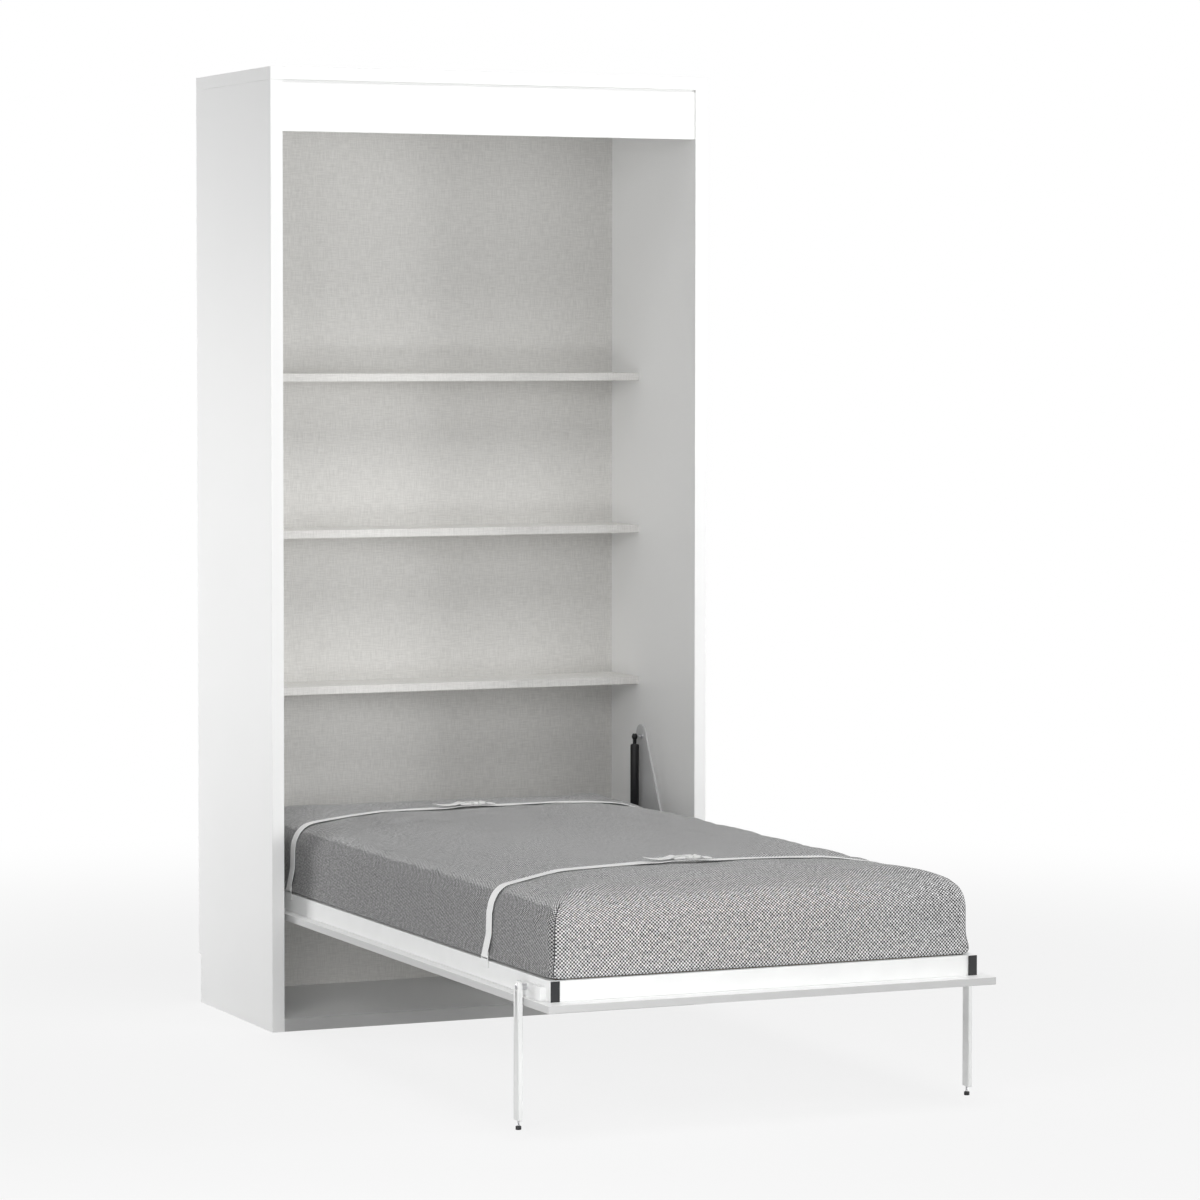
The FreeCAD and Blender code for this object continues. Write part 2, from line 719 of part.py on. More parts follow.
def make_leg_fixings(axis_start):
    # The bolt's head lies flush in the leg, and its end is screwed into the leg bracket.
    bolt_end = V(frame_half_width + end_room, leg_y, leg_pivot_z)
    head_end = axis_start - V(leg_bolt_head_depth, 0, 0)
    bolt = round_bar(leg_bolt_diameter, bolt_end, head_end)
    bolt = bolt.fuse(round_bar(leg_bolt_head, head_end, axis_start)).removeSplitter()
    add("leg_bolts", both_sides([bolt]))
    back = leg_y + leg_bracket_back
    bracket = box(frame_half_width, leg_bracket_x, leg_y - leg_bracket_front, back,
                  door_top, door_top + leg_bracket_height)
    hole = round_bar(leg_bolt_diameter + 2 * running_fit,
                     V(frame_half_width, leg_y, leg_pivot_z), V(leg_bracket_x, leg_y, leg_pivot_z))
    add("leg_brackets", both_sides([bracket.cut(hole)]))
    # Two nuts against each other fill the bolt between the bracket and the leg.
    nuts = [hex_nut(leg_bracket_x), hex_nut(leg_bracket_x + leg_nut_height + running_fit)]
    add("leg_nuts", both_sides(nuts))


def hex_nut(x):
    corner = leg_nut_flats / math.sqrt(3)
    points = []
    for i in range(6):
        angle = math.radians(60 * i)
        points.append(V(x, leg_y + corner * math.cos(angle), leg_pivot_z + corner * math.sin(angle)))
    nut = Part.Face(Part.makePolygon(points + points[:1])).extrude(V(leg_nut_height, 0, 0))
    hole = leg_bolt_diameter + 2 * running_fit
    start = V(x, leg_y, leg_pivot_z)
    return nut.cut(round_bar(hole, start, start + V(leg_nut_height, 0, 0)))


def mattress_profile():
    # Inset from the side and height above the base, from the under edge up to the crown: a small
    # roll, a slightly bulged wall, a wide roll and a parabola to the middle.
    points = []
    low = mattress_bottom_roll
    for degrees in (-90, -45, 0):
        a = math.radians(degrees)
        points.append((low * (1 - math.cos(a)), low * (1 + math.sin(a))))
    roll = mattress_top_roll
    shoulder = mattress_edge_height - roll
    points.append((-mattress_bulge, (low + shoulder) / 2))
    for degrees in (0, 25, 50, 75):
        a = math.radians(degrees)
        points.append((roll * (1 - math.cos(a)), shoulder + roll * math.sin(a)))
    middle = mattress_width / 2
    for share in (0.35, 0.65):
        inset = middle * share
        rise = mattress_crown * (1 - (1 - share) ** 2)
        points.append((inset, mattress_edge_height + rise))
    return points


def cushion_section(inset, z):
    # A rectangle with round corners whose sides are drawn in by shallow arcs.
    half_x = mattress_width / 2 - inset
    half_y = mattress_length / 2 - inset
    r = mattress_corner
    near = r * (1 - math.sqrt(0.5))
    fade = half_x / (mattress_width / 2)
    draw_x = mattress_draw_in_long * fade
    draw_y = mattress_draw_in_short * fade

    def at(x, y):
        return V(x, mattress_mid_y + y, z)

    edges = []
    for sx, sy in ((1, 1), (-1, 1), (-1, -1), (1, -1)):
        corner_start = at(sx * half_x, sy * (half_y - r))
        corner_end = at(sx * (half_x - r), sy * half_y)
        bow = at(sx * (half_x - near), sy * (half_y - near))
        if sx == sy:
            edges.append(Part.Arc(corner_start, bow, corner_end).toShape())
            far = at(-sx * (half_x - r), sy * half_y)
            edges.append(Part.Arc(corner_end, at(0, sy * (half_y - draw_y)), far).toShape())
        else:
            edges.append(Part.Arc(corner_end, bow, corner_start).toShape())
            far = at(sx * half_x, -sy * (half_y - r))
            edges.append(Part.Arc(corner_start, at(sx * (half_x - draw_x), 0), far).toShape())
    return Part.Wire(edges)


def strap_ys():
    return {"foot": mattress_foot_y + strap_end_distance,
            "head": mattress_foot_y + mattress_length - strap_end_distance}


def draw_in_at(y):
    # How far the long sides lie inside the corners at this place along the bed.
    share = (y - mattress_mid_y) / (mattress_length / 2 - mattress_corner)
    return mattress_draw_in_long * (1 - share ** 2)


def strap_path(y):
    # Points (x, z) of the webbing's centre line from the hem at the right anchor, through the
    # anchor's slot and up the mattress to the middle of the bed.
    off = strap_gap + strap_thickness / 2
    slot_z = rail_top + anchor_above - anchor_bar - anchor_slot_height / 2
    inside_x = frame_half_width - off
    outside_x = frame_half_width + anchor_steel + off
    profile = mattress_profile()
    skin = []
    for i in range(1, len(profile)):
        inset, height = profile[i]
        after = profile[min(i + 1, len(profile) - 1)]
        run = after[0] - profile[i - 1][0]
        rise = after[1] - profile[i - 1][1]
        length = math.hypot(run, rise)
        x = mattress_width / 2 - draw_in_at(y) - inset + off * rise / length
        z = mattress_bottom + height + off * run / length
        if height > mattress_bottom_roll + strap_hem / 2:
            skin.append((x, z))
    hem_z = slot_z + anchor_bar + strap_hem
    hem_x = inside_x + strap_thickness + strap_gap
    path = [(hem_x, hem_z), (outside_x, slot_z + anchor_bar + anchor_slot_height),
            (outside_x, slot_z), (inside_x, slot_z), (inside_x, slot_z + anchor_bar + anchor_slot_height)]
    path += skin
    return path


def ribbon(path, thickness, y0, y1):
    # A band of even thickness along a line of (x, z) points, from y0 to y1, with mitred bends.
    near = []
    far = []
    count = len(path)
    for i in range(count):
        here = V(path[i][0], y0, path[i][1])
        before = V(path[max(i - 1, 0)][0], y0, path[max(i - 1, 0)][1])
        after = V(path[min(i + 1, count - 1)][0], y0, path[min(i + 1, count - 1)][1])
        arriving = (here - before) if i > 0 else (after - here)
        leaving = (after - here) if i < count - 1 else arriving
        arriving.normalize()
        leaving.normalize()
        side = V(-arriving.z - leaving.z, 0, arriving.x + leaving.x).normalize()
        reach = thickness / 2 / math.cos(arriving.getAngle(leaving) / 2)
        near.append(here + side * reach)
        far.append(here - side * reach)
    ring = near + far[::-1]
    return Part.Face(Part.makePolygon(ring + ring[:1])).extrude(V(0, y1 - y0, 0))


def strap(y):
    right = strap_path(y)
    left = [(-x, z) for x, z in reversed(right)]
    return ribbon(right + left, strap_thickness, y - strap_width / 2, y + strap_width / 2)


def make_soft_parts():
    sections = [cushion_section(inset, mattress_bottom + height) for inset, height in mattress_profile()]
    add("mattress", Part.makeLoft(sections, True, True))
    for name, y in strap_ys().items():
        add("strap_" + name, strap(y))
    anchors = [strap_anchor(y) for y in strap_ys().values()]
    add("strap_anchors", both_sides(anchors))
    add("strap_buckles", [buckle(y) for y in strap_ys().values()])


def strap_anchor(y):
    # A plate on the outer face of the rail, with a slot for the webbing above the rail's top.
    half = anchor_width / 2
    low = rail_top - anchor_below
    high = rail_top + anchor_above
    r = anchor_corner
    corners = [(y - half, low, 0), (y + half, low, 0), (y + half, high, r), (y - half, high, r)]
    plate = side_plate(corners, frame_half_width, frame_half_width + anchor_steel)
    slot_half = strap_width / 2 + anchor_slot_room
    slot_top = high - anchor_bar
    return plate.cut(box(frame_half_width, frame_half_width + anchor_steel, y - slot_half, y + slot_half,
                         slot_top - anchor_slot_height, slot_top))


def buckle(y):
    # A side-release buckle on the webbing near the middle of the bed, with an open window at each end.
    top_z = max(z for x, z in strap_path(y))
    bottom = top_z + strap_thickness / 2 + strap_gap
    half_x = buckle_length / 2
    half_y = buckle_width / 2
    body = box(-buckle_offset - half_x, half_x - buckle_offset, y - half_y, y + half_y,
               bottom, bottom + buckle_height)
    edges = [e for e in body.Edges if abs(e.tangentAt(0).y) > 0.9 or abs(e.tangentAt(0).z) > 0.9]
    body = body.makeFillet(buckle_edge, edges)
    windows = []
    for side in (-1, 1):
        x = side * (half_x - buckle_window) - buckle_offset
        windows.append(box(x - buckle_window / 2, x + buckle_window / 2, y - strap_width / 2,
                           y + strap_width / 2, bottom, bottom + buckle_height))
    return body.cut(windows)


def export():
    os.makedirs("parts", exist_ok=True)
    for name, group in nodes.items():
        solids = []
        for shape in group:
            solids += shape.Solids
        whole = solids[0] if len(solids) == 1 else Part.makeCompound(solids)
        if not whole.isValid():
            print("not valid:", name)
        whole.exportStep("parts/%s.step" % name)


make_cabinet()
make_lift_plates()
make_struts()
make_arms()
make_bed_frame()
make_legs()
make_soft_parts()
export()
print(len(nodes), "nodes,", sum(len(shape.Solids) for group in nodes.values() for shape in group), "solids")
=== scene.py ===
import math
import bpy
import numpy as np
from mathutils import Euler, Matrix, Vector


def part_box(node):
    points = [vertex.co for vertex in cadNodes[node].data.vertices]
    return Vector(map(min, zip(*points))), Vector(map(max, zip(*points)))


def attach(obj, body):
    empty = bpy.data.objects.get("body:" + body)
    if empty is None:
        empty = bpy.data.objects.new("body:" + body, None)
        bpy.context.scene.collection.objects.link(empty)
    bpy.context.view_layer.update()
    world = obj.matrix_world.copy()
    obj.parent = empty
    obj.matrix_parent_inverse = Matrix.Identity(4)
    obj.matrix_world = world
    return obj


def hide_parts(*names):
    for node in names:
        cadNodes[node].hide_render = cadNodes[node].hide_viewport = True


# An upright wall bed, let down out of its open cabinet. Metres, +Z up, foot of the bed towards -Y.
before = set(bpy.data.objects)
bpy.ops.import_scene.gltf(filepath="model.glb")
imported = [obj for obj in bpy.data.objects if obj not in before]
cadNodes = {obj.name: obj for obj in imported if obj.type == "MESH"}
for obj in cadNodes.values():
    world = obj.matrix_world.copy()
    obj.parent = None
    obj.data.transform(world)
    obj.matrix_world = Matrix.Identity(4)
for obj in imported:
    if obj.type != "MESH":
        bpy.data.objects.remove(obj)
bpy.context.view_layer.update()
scene = bpy.context.scene
print("frame:", len(cadNodes), "nodes")


class Wire:
    # One output socket. Arithmetic on wires and numbers adds Math nodes.
    def __init__(self, tree, socket=None):
        self.tree = tree
        self.socket = socket

    def node(self, kind, settings=None, inputs=None, output=0):
        # Any node: its type, its settings, then the values or links of its sockets.
        made = self.tree.nodes.new("ShaderNode" + kind)
        for name, value in (settings or {}).items():
            if name == "stops":
                while len(made.color_ramp.elements) < len(value):
                    made.color_ramp.elements.new(0.5)
                for stop, (place, grey) in zip(made.color_ramp.elements, value):
                    stop.position = place
                    stop.color = (grey, grey, grey, 1)
            else:
                setattr(made, name, value)
        for name, value in (inputs or {}).items():
            if isinstance(value, Wire):
                self.tree.links.new(value.socket, made.inputs[name])
            else:
                made.inputs[name].default_value = value
        return Wire(self.tree, made.outputs[output] if len(made.outputs) else None)

    def math(self, operation, *values):
        return self.node("Math", {"operation": operation}, dict(enumerate(values)))

    def __add__(self, other):
        return self.math("ADD", self, other)

    def __radd__(self, other):
        return self.math("ADD", other, self)

    def __sub__(self, other):
        return self.math("SUBTRACT", self, other)

    def __rsub__(self, other):
        return self.math("SUBTRACT", other, self)

    def __mul__(self, other):
        return self.math("MULTIPLY", self, other)

    def __rmul__(self, other):
        return self.math("MULTIPLY", other, self)

    def __truediv__(self, other):
        return self.math("DIVIDE", self, other)

    def floor(self):
        return self.math("FLOOR", self)

    def part(self):
        return self.math("FRACT", self)

    def size(self):
        return self.math("ABSOLUTE", self)

    def sine(self):
        return self.math("SINE", self)

    def above(self, limit):
        return self.math("GREATER_THAN", self, limit)

    def below(self, limit):
        return self.math("LESS_THAN", self, limit)

    def within(self, low, high):
        # 1 between the two values, 0 outside them
        return self.above(low) * self.below(high)

    def most(self, other):
        return self.math("MAXIMUM", self, other)

    def ramp(self, low, high):
        # 0 below low, 1 above high, smooth between
        return self.node("MapRange", {"interpolation_type": "SMOOTHSTEP"},
                         {"Value": self, "From Min": low, "From Max": high})

    def axes(self):
        # the three parts of a vector
        split = self.node("SeparateXYZ", None, {0: self})
        return [Wire(self.tree, socket) for socket in split.socket.node.outputs]

    def vector(self, x, y, z=0.0):
        return self.node("CombineXYZ", None, {0: x, 1: y, 2: z})

    def noise(self, place, scale, detail=2.0, roughness=0.5):
        return self.node("TexNoise", None, {"Vector": place, "Scale": scale, "Detail": detail,
                                            "Roughness": roughness})

    def speck(self, place):
        # a random value for each whole-number cell
        return self.node("TexWhiteNoise", {"noise_dimensions": "3D"}, {"Vector": place})

    def blend(self, share, first, second):
        # colour mix: share 0 gives first, 1 gives second
        first, second = [c if isinstance(c, Wire) else (*c, 1.0) for c in (first, second)]
        return self.node("Mix", {"data_type": "RGBA"}, {0: share, 6: first, 7: second}, 2)


def paint(name):
    # An empty material and the wire that writes its nodes, with its object coordinates.
    material = bpy.data.materials.new(name)
    material.use_nodes = True
    material.node_tree.nodes.clear()
    wire = Wire(material.node_tree)
    return material, wire, wire.node("TexCoord", None, None, "Object")


def cover(material, wire, colour, roughness, height, relief, strength, **fixed):
    # The surface shader: what varies is linked, fixed values sit on the shader's own sockets.
    bump = wire.node("Bump", None, {"Strength": strength, "Distance": relief, "Height": height})
    inputs = {"Base Color": colour, "Roughness": roughness, "Normal": bump}
    inputs.update({name.replace("_", " "): value for name, value in fixed.items()})
    shader = wire.node("BsdfPrincipled", None, inputs)
    wire.node("OutputMaterial", None, {"Surface": shader})
    return material


def whiteBoard():
    # Satin melamine: a faint orange peel and barely visible mottling. The door's edge faces are darker,
    # and the deck's front face gets a painted shadow, the shade under the let-down bed: the faces
    # within half a millimetre of their boxes' sides.
    look = dict(colour=(0.905, 0.907, 0.903), mottled=(0.885, 0.887, 0.883), peel=900.0,
                band=0.0005, edgesAndShadowTone=0.50, doorShare=0.68, faceGap=0.0004)
    material, w, place = paint("whiteBoard")
    x, y, z = place.axes()
    doorLow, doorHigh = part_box("door_panel")
    deckLow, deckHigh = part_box("deck_panel")
    band = look["band"]
    doorSide = x.size().within(doorHigh[0] - band, doorHigh[0] + band)
    doorHeight = z.within(doorLow[2] + look["faceGap"], doorHigh[2] - look["faceGap"])
    doorEdge = doorSide.most(y.below(doorLow[1] + band)) * doorHeight
    # painted shadow: the deck's front face between the sides is darkened as the shade under the bed
    deckFront = y.within(deckLow[1] - band, deckLow[1] + band)
    deckShadow = deckFront * z.below(deckHigh[2]) * x.size().below(deckHigh[0])
    edge = (doorEdge * look["doorShare"]).most(deckShadow)
    cloud = w.noise(place, 3.0, 4.0)
    peel = w.noise(place, look["peel"], 2.0)
    colour = w.blend(cloud, look["mottled"], look["colour"])
    # the darker tone: for the door's edge faces, and as painted shadow on the deck's front face
    darkToneForEdgesAndShadow = [part * look["edgesAndShadowTone"] for part in look["colour"]]
    colour = w.blend(edge, colour, darkToneForEdgesAndShadow)
    return cover(material, w, colour, 0.36 + 0.1 * cloud, peel, 0.00005, 0.35,
                 Specular_IOR_Level=0.4)


def linenBoard():
    # Printed linen: fine threads both ways, each a noise stretched along its thread.
    look = dict(light=(0.775, 0.767, 0.745), dark=(0.645, 0.637, 0.617), pitch=0.0018, run=0.030)
    material, w, place = paint("linenBoard")
    x, y, z = place.axes()
    up = z + y
    fine = 1.0 / look["pitch"]
    long = 1.0 / look["run"]
    warp = w.noise(w.vector(x * fine, up * long, 3.0), 1.0, 3.0, 0.6)
    weft = w.noise(w.vector(x * long, up * fine, 9.0), 1.0, 3.0, 0.6)
    coarseWarp = w.noise(w.vector(x * fine * 0.3, up * long * 0.7, 5.0), 1.0, 1.0)
    coarseWeft = w.noise(w.vector(x * long * 0.7, up * fine * 0.3, 7.0), 1.0, 1.0)
    threads = (warp + weft) * 0.41 + (coarseWarp + coarseWeft) * 0.09
    share = threads.ramp(0.38, 0.62)
    colour = w.blend(share, look["dark"], look["light"])
    return cover(material, w, colour, 0.62 - 0.12 * share, threads, 0.00025, 0.5,
                 Specular_IOR_Level=0.25)


def beechPly():
    # Beech veneers: long grain along X on the faces, thin layers on the edges.
    look = dict(light=(0.66, 0.47, 0.28), dark=(0.52, 0.34, 0.18), layer=0.0018)
    material, w, place = paint("beechPly")
    x, y, z = place.axes()
    grain = w.noise(w.vector(x * 6.0, y * 160.0, z * 60.0), 1.0, 4.0, 0.6)
    fleck = w.noise(w.vector(x * 90.0, y * 700.0, z * 400.0), 1.0, 2.0).ramp(0.6, 0.75)
    layer = (z / look["layer"]).part().ramp(0.42, 0.58)
    share = (grain * 0.7 + layer * 0.2).ramp(0.25, 0.7)
    colour = w.blend(share - 0.25 * fleck, look["dark"], look["light"])
    return cover(material, w, colour, 0.5 + 0.15 * grain, grain - 0.5 * fleck, 0.0001, 0.4)


def powderCoat(name, colour, shade, roughness, spread=0.08):
    # Powder coat: a fine pebbled skin over sheet steel, a little darker in the hollows as painted shade, and
    # in random clouds.
    material, w, place = paint(name)
    pebble = w.noise(place, 1400.0, 2.0, 0.6)
    cloud = w.noise(place, 14.0, 3.0)
    # painted shade in the pebbles' hollows, mixed with a random cloudy tone
    mixed = w.blend((cloud * 0.6 + pebble * 0.4).ramp(0.35, 0.65), shade, colour)
    return cover(material, w, mixed, roughness + spread * (pebble - 0.5), pebble, 0.00006, 0.4,
                 Specular_IOR_Level=0.3)


def brightSteel():
    # Zinc-plated steel: fine drawn lines and a cloudy roughness.
    look = dict(light=(0.72, 0.72, 0.73), dark=(0.52, 0.52, 0.54))
    material, w, place = paint("brightSteel")
    x, y, z = place.axes()
    lines = w.noise(w.vector(x * 250.0, y * 1600.0, z * 1600.0), 1.0, 2.0)
    cloud = w.noise(place, 60.0, 3.0)
    colour = w.blend(cloud, look["dark"], look["light"])
    return cover(material, w, colour, 0.22 + 0.2 * lines, lines, 0.00002, 0.5, Metallic=1.0)


def plastic(name, colour, shade, roughness, grain=1100.0, relief=0.00008):
    # Moulded plastic with a fine spark-eroded grain.
    material, w, place = paint(name)
    spots = w.noise(place, grain, 1.5)
    cloud = w.noise(place, 25.0, 2.0)
    mixed = w.blend(cloud, shade, colour)
    return cover(material, w, mixed, roughness + 0.12 * (spots - 0.5), spots, relief, 0.5,
                 Specular_IOR_Level=0.35)


def wovenCover():
    # Pepper-and-salt weave on the cover's own map, which is in metres: light warp over dark
    # weft in every other cell, each yarn a round pillow, its shade drifting from place to place.
    # Slubs lighten and darken short runs of yarn. The hollows between yarns and the long sides are painted
    # darker, as painted shade.
    look = dict(cell=0.0038, light=(0.97, 0.97, 0.972), mid=(0.84, 0.84, 0.843),
                dark=(0.005, 0.005, 0.006), grey=(0.08, 0.08, 0.083), gap=(0.015, 0.015, 0.017),
                slubDark=0.34, slubLight=0.14, seam=0.0016, seamReach=0.045, seamShade=0.9,
                sideShade=0.38)
    material, w, place = paint("wovenCover")
    u, v = w.node("TexCoord", None, None, "UV").axes()[:2]
    wander = w.noise(w.vector(u * 7.0, v * 7.0), 1.0, 2.0)
    drift = w.noise(w.vector(u * 22.0, v * 22.0, 3.0), 1.0, 2.0)
    slub = w.noise(w.vector(u * 190.0 + v * 30.0, v * 110.0, 6.0), 1.0, 2.0, 0.7).ramp(0.36, 0.64)
    a = u / look["cell"] + wander * 1.2
    b = v / look["cell"] - wander * 0.9
    column = a.floor()
    row = b.floor()
    across = (a.part() * math.pi).sine()
    along = (b.part() * math.pi).sine()
    over = ((column + row) * 0.5).part().ramp(0.2, 0.3)
    cellNoise = w.speck(w.vector(column, row))
    fibre = w.noise(w.vector(u * 2600.0, v * 2600.0), 1.0, 2.0)
    warpHeight = across * (0.55 + 0.45 * along)
    weftHeight = along * (0.55 + 0.45 * across)
    height = over * warpHeight + (1.0 - over) * weftHeight
    lightYarn = w.blend((cellNoise + drift * 0.8).ramp(0.3, 0.75), look["mid"], look["light"])
    darkYarn = w.blend((cellNoise * 0.8 + drift * 0.5).ramp(0.75, 1.1), look["dark"], look["grey"])
    yarn = w.blend(over, darkYarn, lightYarn)
    # painted shade: each yarn goes darker towards its low edges, in the hollows between cells
    colour = w.blend(height.ramp(0.0, 0.3) * 0.25 + 0.75, look["gap"], yarn)
    colour = w.blend(slub * look["slubLight"], colour, look["light"])
    colour = w.blend((1.0 - slub) * look["slubDark"], colour, look["gap"])
    # painted shade: faces that look sideways, the cover's long sides, are darkened
    sideShadeShare = w.node("TexCoord", None, None, "Normal").axes()[0].size().ramp(0.66, 0.76)
    colour = w.blend(sideShadeShare * look["sideShade"], colour, look["gap"])
    # the upright corner seams: where a point is as far from the side as from the end
    low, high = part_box("mattress")
    x, y = place.axes()[:2]
    fromSide = (high[0] - low[0]) / 2 - (x - (high[0] + low[0]) / 2).size()
    fromEnd = (high[1] - low[1]) / 2 - (y - (high[1] + low[1]) / 2).size()
    seam = 1.0 - (fromSide - fromEnd).size().ramp(look["seam"] * 0.5, look["seam"] * 1.5)
    seam = seam * (1.0 - fromSide.ramp(look["seamReach"] * 0.8, look["seamReach"]))
    colour = w.blend(seam * look["seamShade"], colour, look["gap"])
    height = height * (1.0 - seam) + 0.15 * fibre
    return cover(material, w, colour, 0.88 - 0.06 * fibre, height, 0.0010, 0.9,
                 Specular_IOR_Level=0.15, Sheen_Weight=0.12, Sheen_Roughness=0.5)


def webbing():
    # Polyester webbing on its own map: fine ribs across and a chevron of warp yarns along.
    look = dict(rib=0.0011, colour=(0.94, 0.94, 0.935), shade=(0.80, 0.80, 0.795))
    material, w, place = paint("webbing")
    u, v = w.node("TexCoord", None, None, "UV").axes()[:2]
    chevron = (u / look["rib"] * 0.5).part() - 0.5
    ribs = ((v / look["rib"] + chevron.size() * 2.0) * math.pi).sine().size()
    warp = ((u / look["rib"]) * math.pi).sine().size()
    height = ribs * 0.6 + warp * 0.4
    fuzz = w.noise(place, 1800.0, 2.0)
    # painted shade: the low parts between ribs and yarns take the darker tone
    colour = w.blend(height.ramp(0.1, 0.6), look["shade"], look["colour"])
    return cover(material, w, colour, 0.72 + 0.12 * fuzz, height + 0.2 * fuzz, 0.0003, 0.7,
                 Specular_IOR_Level=0.3)


finishes = {
    "white_board": whiteBoard(),
    "back_linen": linenBoard(),
    "beech": beechPly(),
    "white_steel": powderCoat("whiteSteel", (0.90, 0.905, 0.90), (0.865, 0.87, 0.865), 0.34),
    "grey_steel": powderCoat("greySteel", (0.62, 0.625, 0.63), (0.56, 0.565, 0.57), 0.42),
    "black_steel": powderCoat("blackSteel", (0.010, 0.010, 0.011), (0.016, 0.016, 0.017), 0.38, 0.06),
    "bright_steel": brightSteel(),
    "black_plastic": plastic("blackPlastic", (0.018, 0.018, 0.019), (0.028, 0.028, 0.03), 0.48),
    "nylon": plastic("nylon", (0.05, 0.05, 0.053), (0.035, 0.035, 0.038), 0.5),
    "mattress_cover": wovenCover(),
    "webbing": webbing(),
    "buckle_plastic": plastic("bucklePlastic", (0.84, 0.84, 0.83), (0.78, 0.78, 0.77), 0.3, 800.0, 0.00004),
}
print("finishes:", len(finishes))

edgeRounds = dict(white_board=0.0008, back_linen=0.0006, white_steel=0.0011, grey_steel=0.0008,
                  beech=0.0012, black_plastic=0.0006, nylon=0.0005)
# left sharp, because a rounded edge streaks the shading of these boards' broad faces
plainEdges = ("back_panel", "wall_rail_lower", "wall_rail_upper")


def roundEdges(node, width):
    # The node's loose triangles are joined, then each sharp edge gets a small round.
    join = node.modifiers.new("join", "WELD")
    join.merge_threshold = 0.00001
    ease = node.modifiers.new("ease", "BEVEL")
    ease.width = width
    ease.segments = 2
    ease.limit_method = "ANGLE"
    ease.angle_limit = math.radians(40)
    ease.use_clamp_overlap = False
    ease.harden_normals = True


for name, node in cadNodes.items():
    slotName = node.data.materials[0].name.split(".")[0]
    node.material_slots[0].material = finishes[slotName]
    if slotName in edgeRounds and name not in plainEdges:
        roundEdges(node, edgeRounds[slotName])


def read(items, name, width=3, kind=float):
    # One value or point of each item, as an array.
    flat = np.zeros(len(items) * width, kind)
    items.foreach_get(name, flat)
    return flat.reshape(-1, width) if width > 1 else flat


def circle(count):
    # Angles in equal steps round a full turn.
    return np.linspace(0, 2 * math.pi, count, endpoint=False)


def unit(vectors):
    return vectors / np.linalg.norm(vectors, axis=1)[:, None]


def lengths(path):
    # How far along the line each of its points lies.
    return np.r_[0, np.cumsum(np.linalg.norm(np.diff(path, axis=0), axis=1))]


def evenly(path, count):
    # The same line as points in equal steps.
    steps = lengths(path)
    places = np.linspace(0, steps[-1], count)
    return np.column_stack([np.interp(places, steps, column) for column in path.T])


def smoothed(path, reach):
    # Each point is the mean of its neighbours up to reach away; the line's ends stay.
    wide = np.pad(path, ((reach, reach), (0, 0)), mode="edge")
    kernel = np.ones(2 * reach + 1) / (2 * reach + 1)
    return np.column_stack([np.convolve(column, kernel, "valid") for column in wide.T])


def gridFaces(rows, columns, closed=False):
    # Quads between neighbouring rings, each wrapping round; closed also joins the last ring to
    # the first.
    r = np.arange(rows if closed else rows - 1)[:, None]
    c = np.arange(columns)[None, :]
    r2 = (r + 1) % rows
    c2 = (c + 1) % columns
    quads = np.stack([r * columns + c, r * columns + c2, r2 * columns + c2, r2 * columns + c], -1)
    return quads.reshape(-1, 4)


def gridPart(points):
    # A closed band of rings with a flat cap at each end.
    rows, columns = points.shape[:2]
    ring = np.arange(columns)
    return points.reshape(-1, 3), gridFaces(rows, columns), [ring[::-1], ring + (rows - 1) * columns]


def joined(parts):
    # The points and faces of several parts as one.
    starts = np.cumsum([0] + [len(points) for points, quads, caps in parts])
    points = np.concatenate([part[0] for part in parts])
    quads = np.concatenate([part[1] + start for part, start in zip(parts, starts)])
    caps = [cap + start for part, start in zip(parts, starts) for cap in part[2]]
    return points, quads.tolist() + [cap.tolist() for cap in caps]


def placed(name, data):
    # A scene object that shows this mesh, lamp or camera.
    made = bpy.data.objects.new(name, data)
    scene.collection.objects.link(made)
    return made


def meshPiece(name, points, faces, body, slotName, maps=None):
    # A piece from point and face arrays, with smooth faces and its map in metres if it has one.
    mesh = bpy.data.meshes.new(name)
    mesh.from_pydata(points.reshape(-1, 3).tolist(), [], [list(f) for f in faces])
    mesh.update()
    if maps is not None:
        layer = mesh.uv_layers.new(name="cloth")
        loops = read(mesh.loops, "vertex_index", 1, np.int32)
        layer.data.foreach_set("uv", maps.reshape(-1, 2)[loops].ravel())
    mesh.shade_smooth()
    piece = placed(name, mesh)
    mesh.materials.append(finishes[slotName])
    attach(piece, body)
    return piece


mattressLook = dict(voxel=0.014, grow=0.0015, bowSide=0.002, bowEnd=0.001, pressure=4.0, cap=0.010,
                    frames=20, held=0.012, lumps=0.0026, lumpLengths=(0.16, 0.45), ripples=0.0020,
                    rippleLengths=(0.06, 0.16), calm=0.03, calmRun=0.1, strapDent=0.005,
                    strapSpread=0.040, corner=0.030, roll=0.058, baseRoll=0.008, crown=0.010,
                    crownStop=0.02, seed=11)


def roundedOutline(halfX, halfY, radius, bowX, bowY):
    # Points round a rectangle with round corners, its sides bowed out by shallow parabolas.
    t = np.linspace(-1, 1, 60)[:-1]
    a = np.linspace(0, math.pi / 2, 8)[:-1]
    sides = []
    for turn, (reach, length, bow) in enumerate([(halfX, halfY, bowX), (halfY, halfX, bowY)] * 2):
        run = np.stack([reach + bow * (1 - t ** 2), t * (length - radius)], 1)
        arc = np.stack([reach - radius + radius * np.cos(a), length - radius + radius * np.sin(a)], 1)
        x, y = np.concatenate([run, arc]).T
        c, s = math.cos(turn * math.pi / 2), math.sin(turn * math.pi / 2)
        sides.append(np.stack([x * c - y * s, x * s + y * c], 1))
    return np.concatenate(sides)


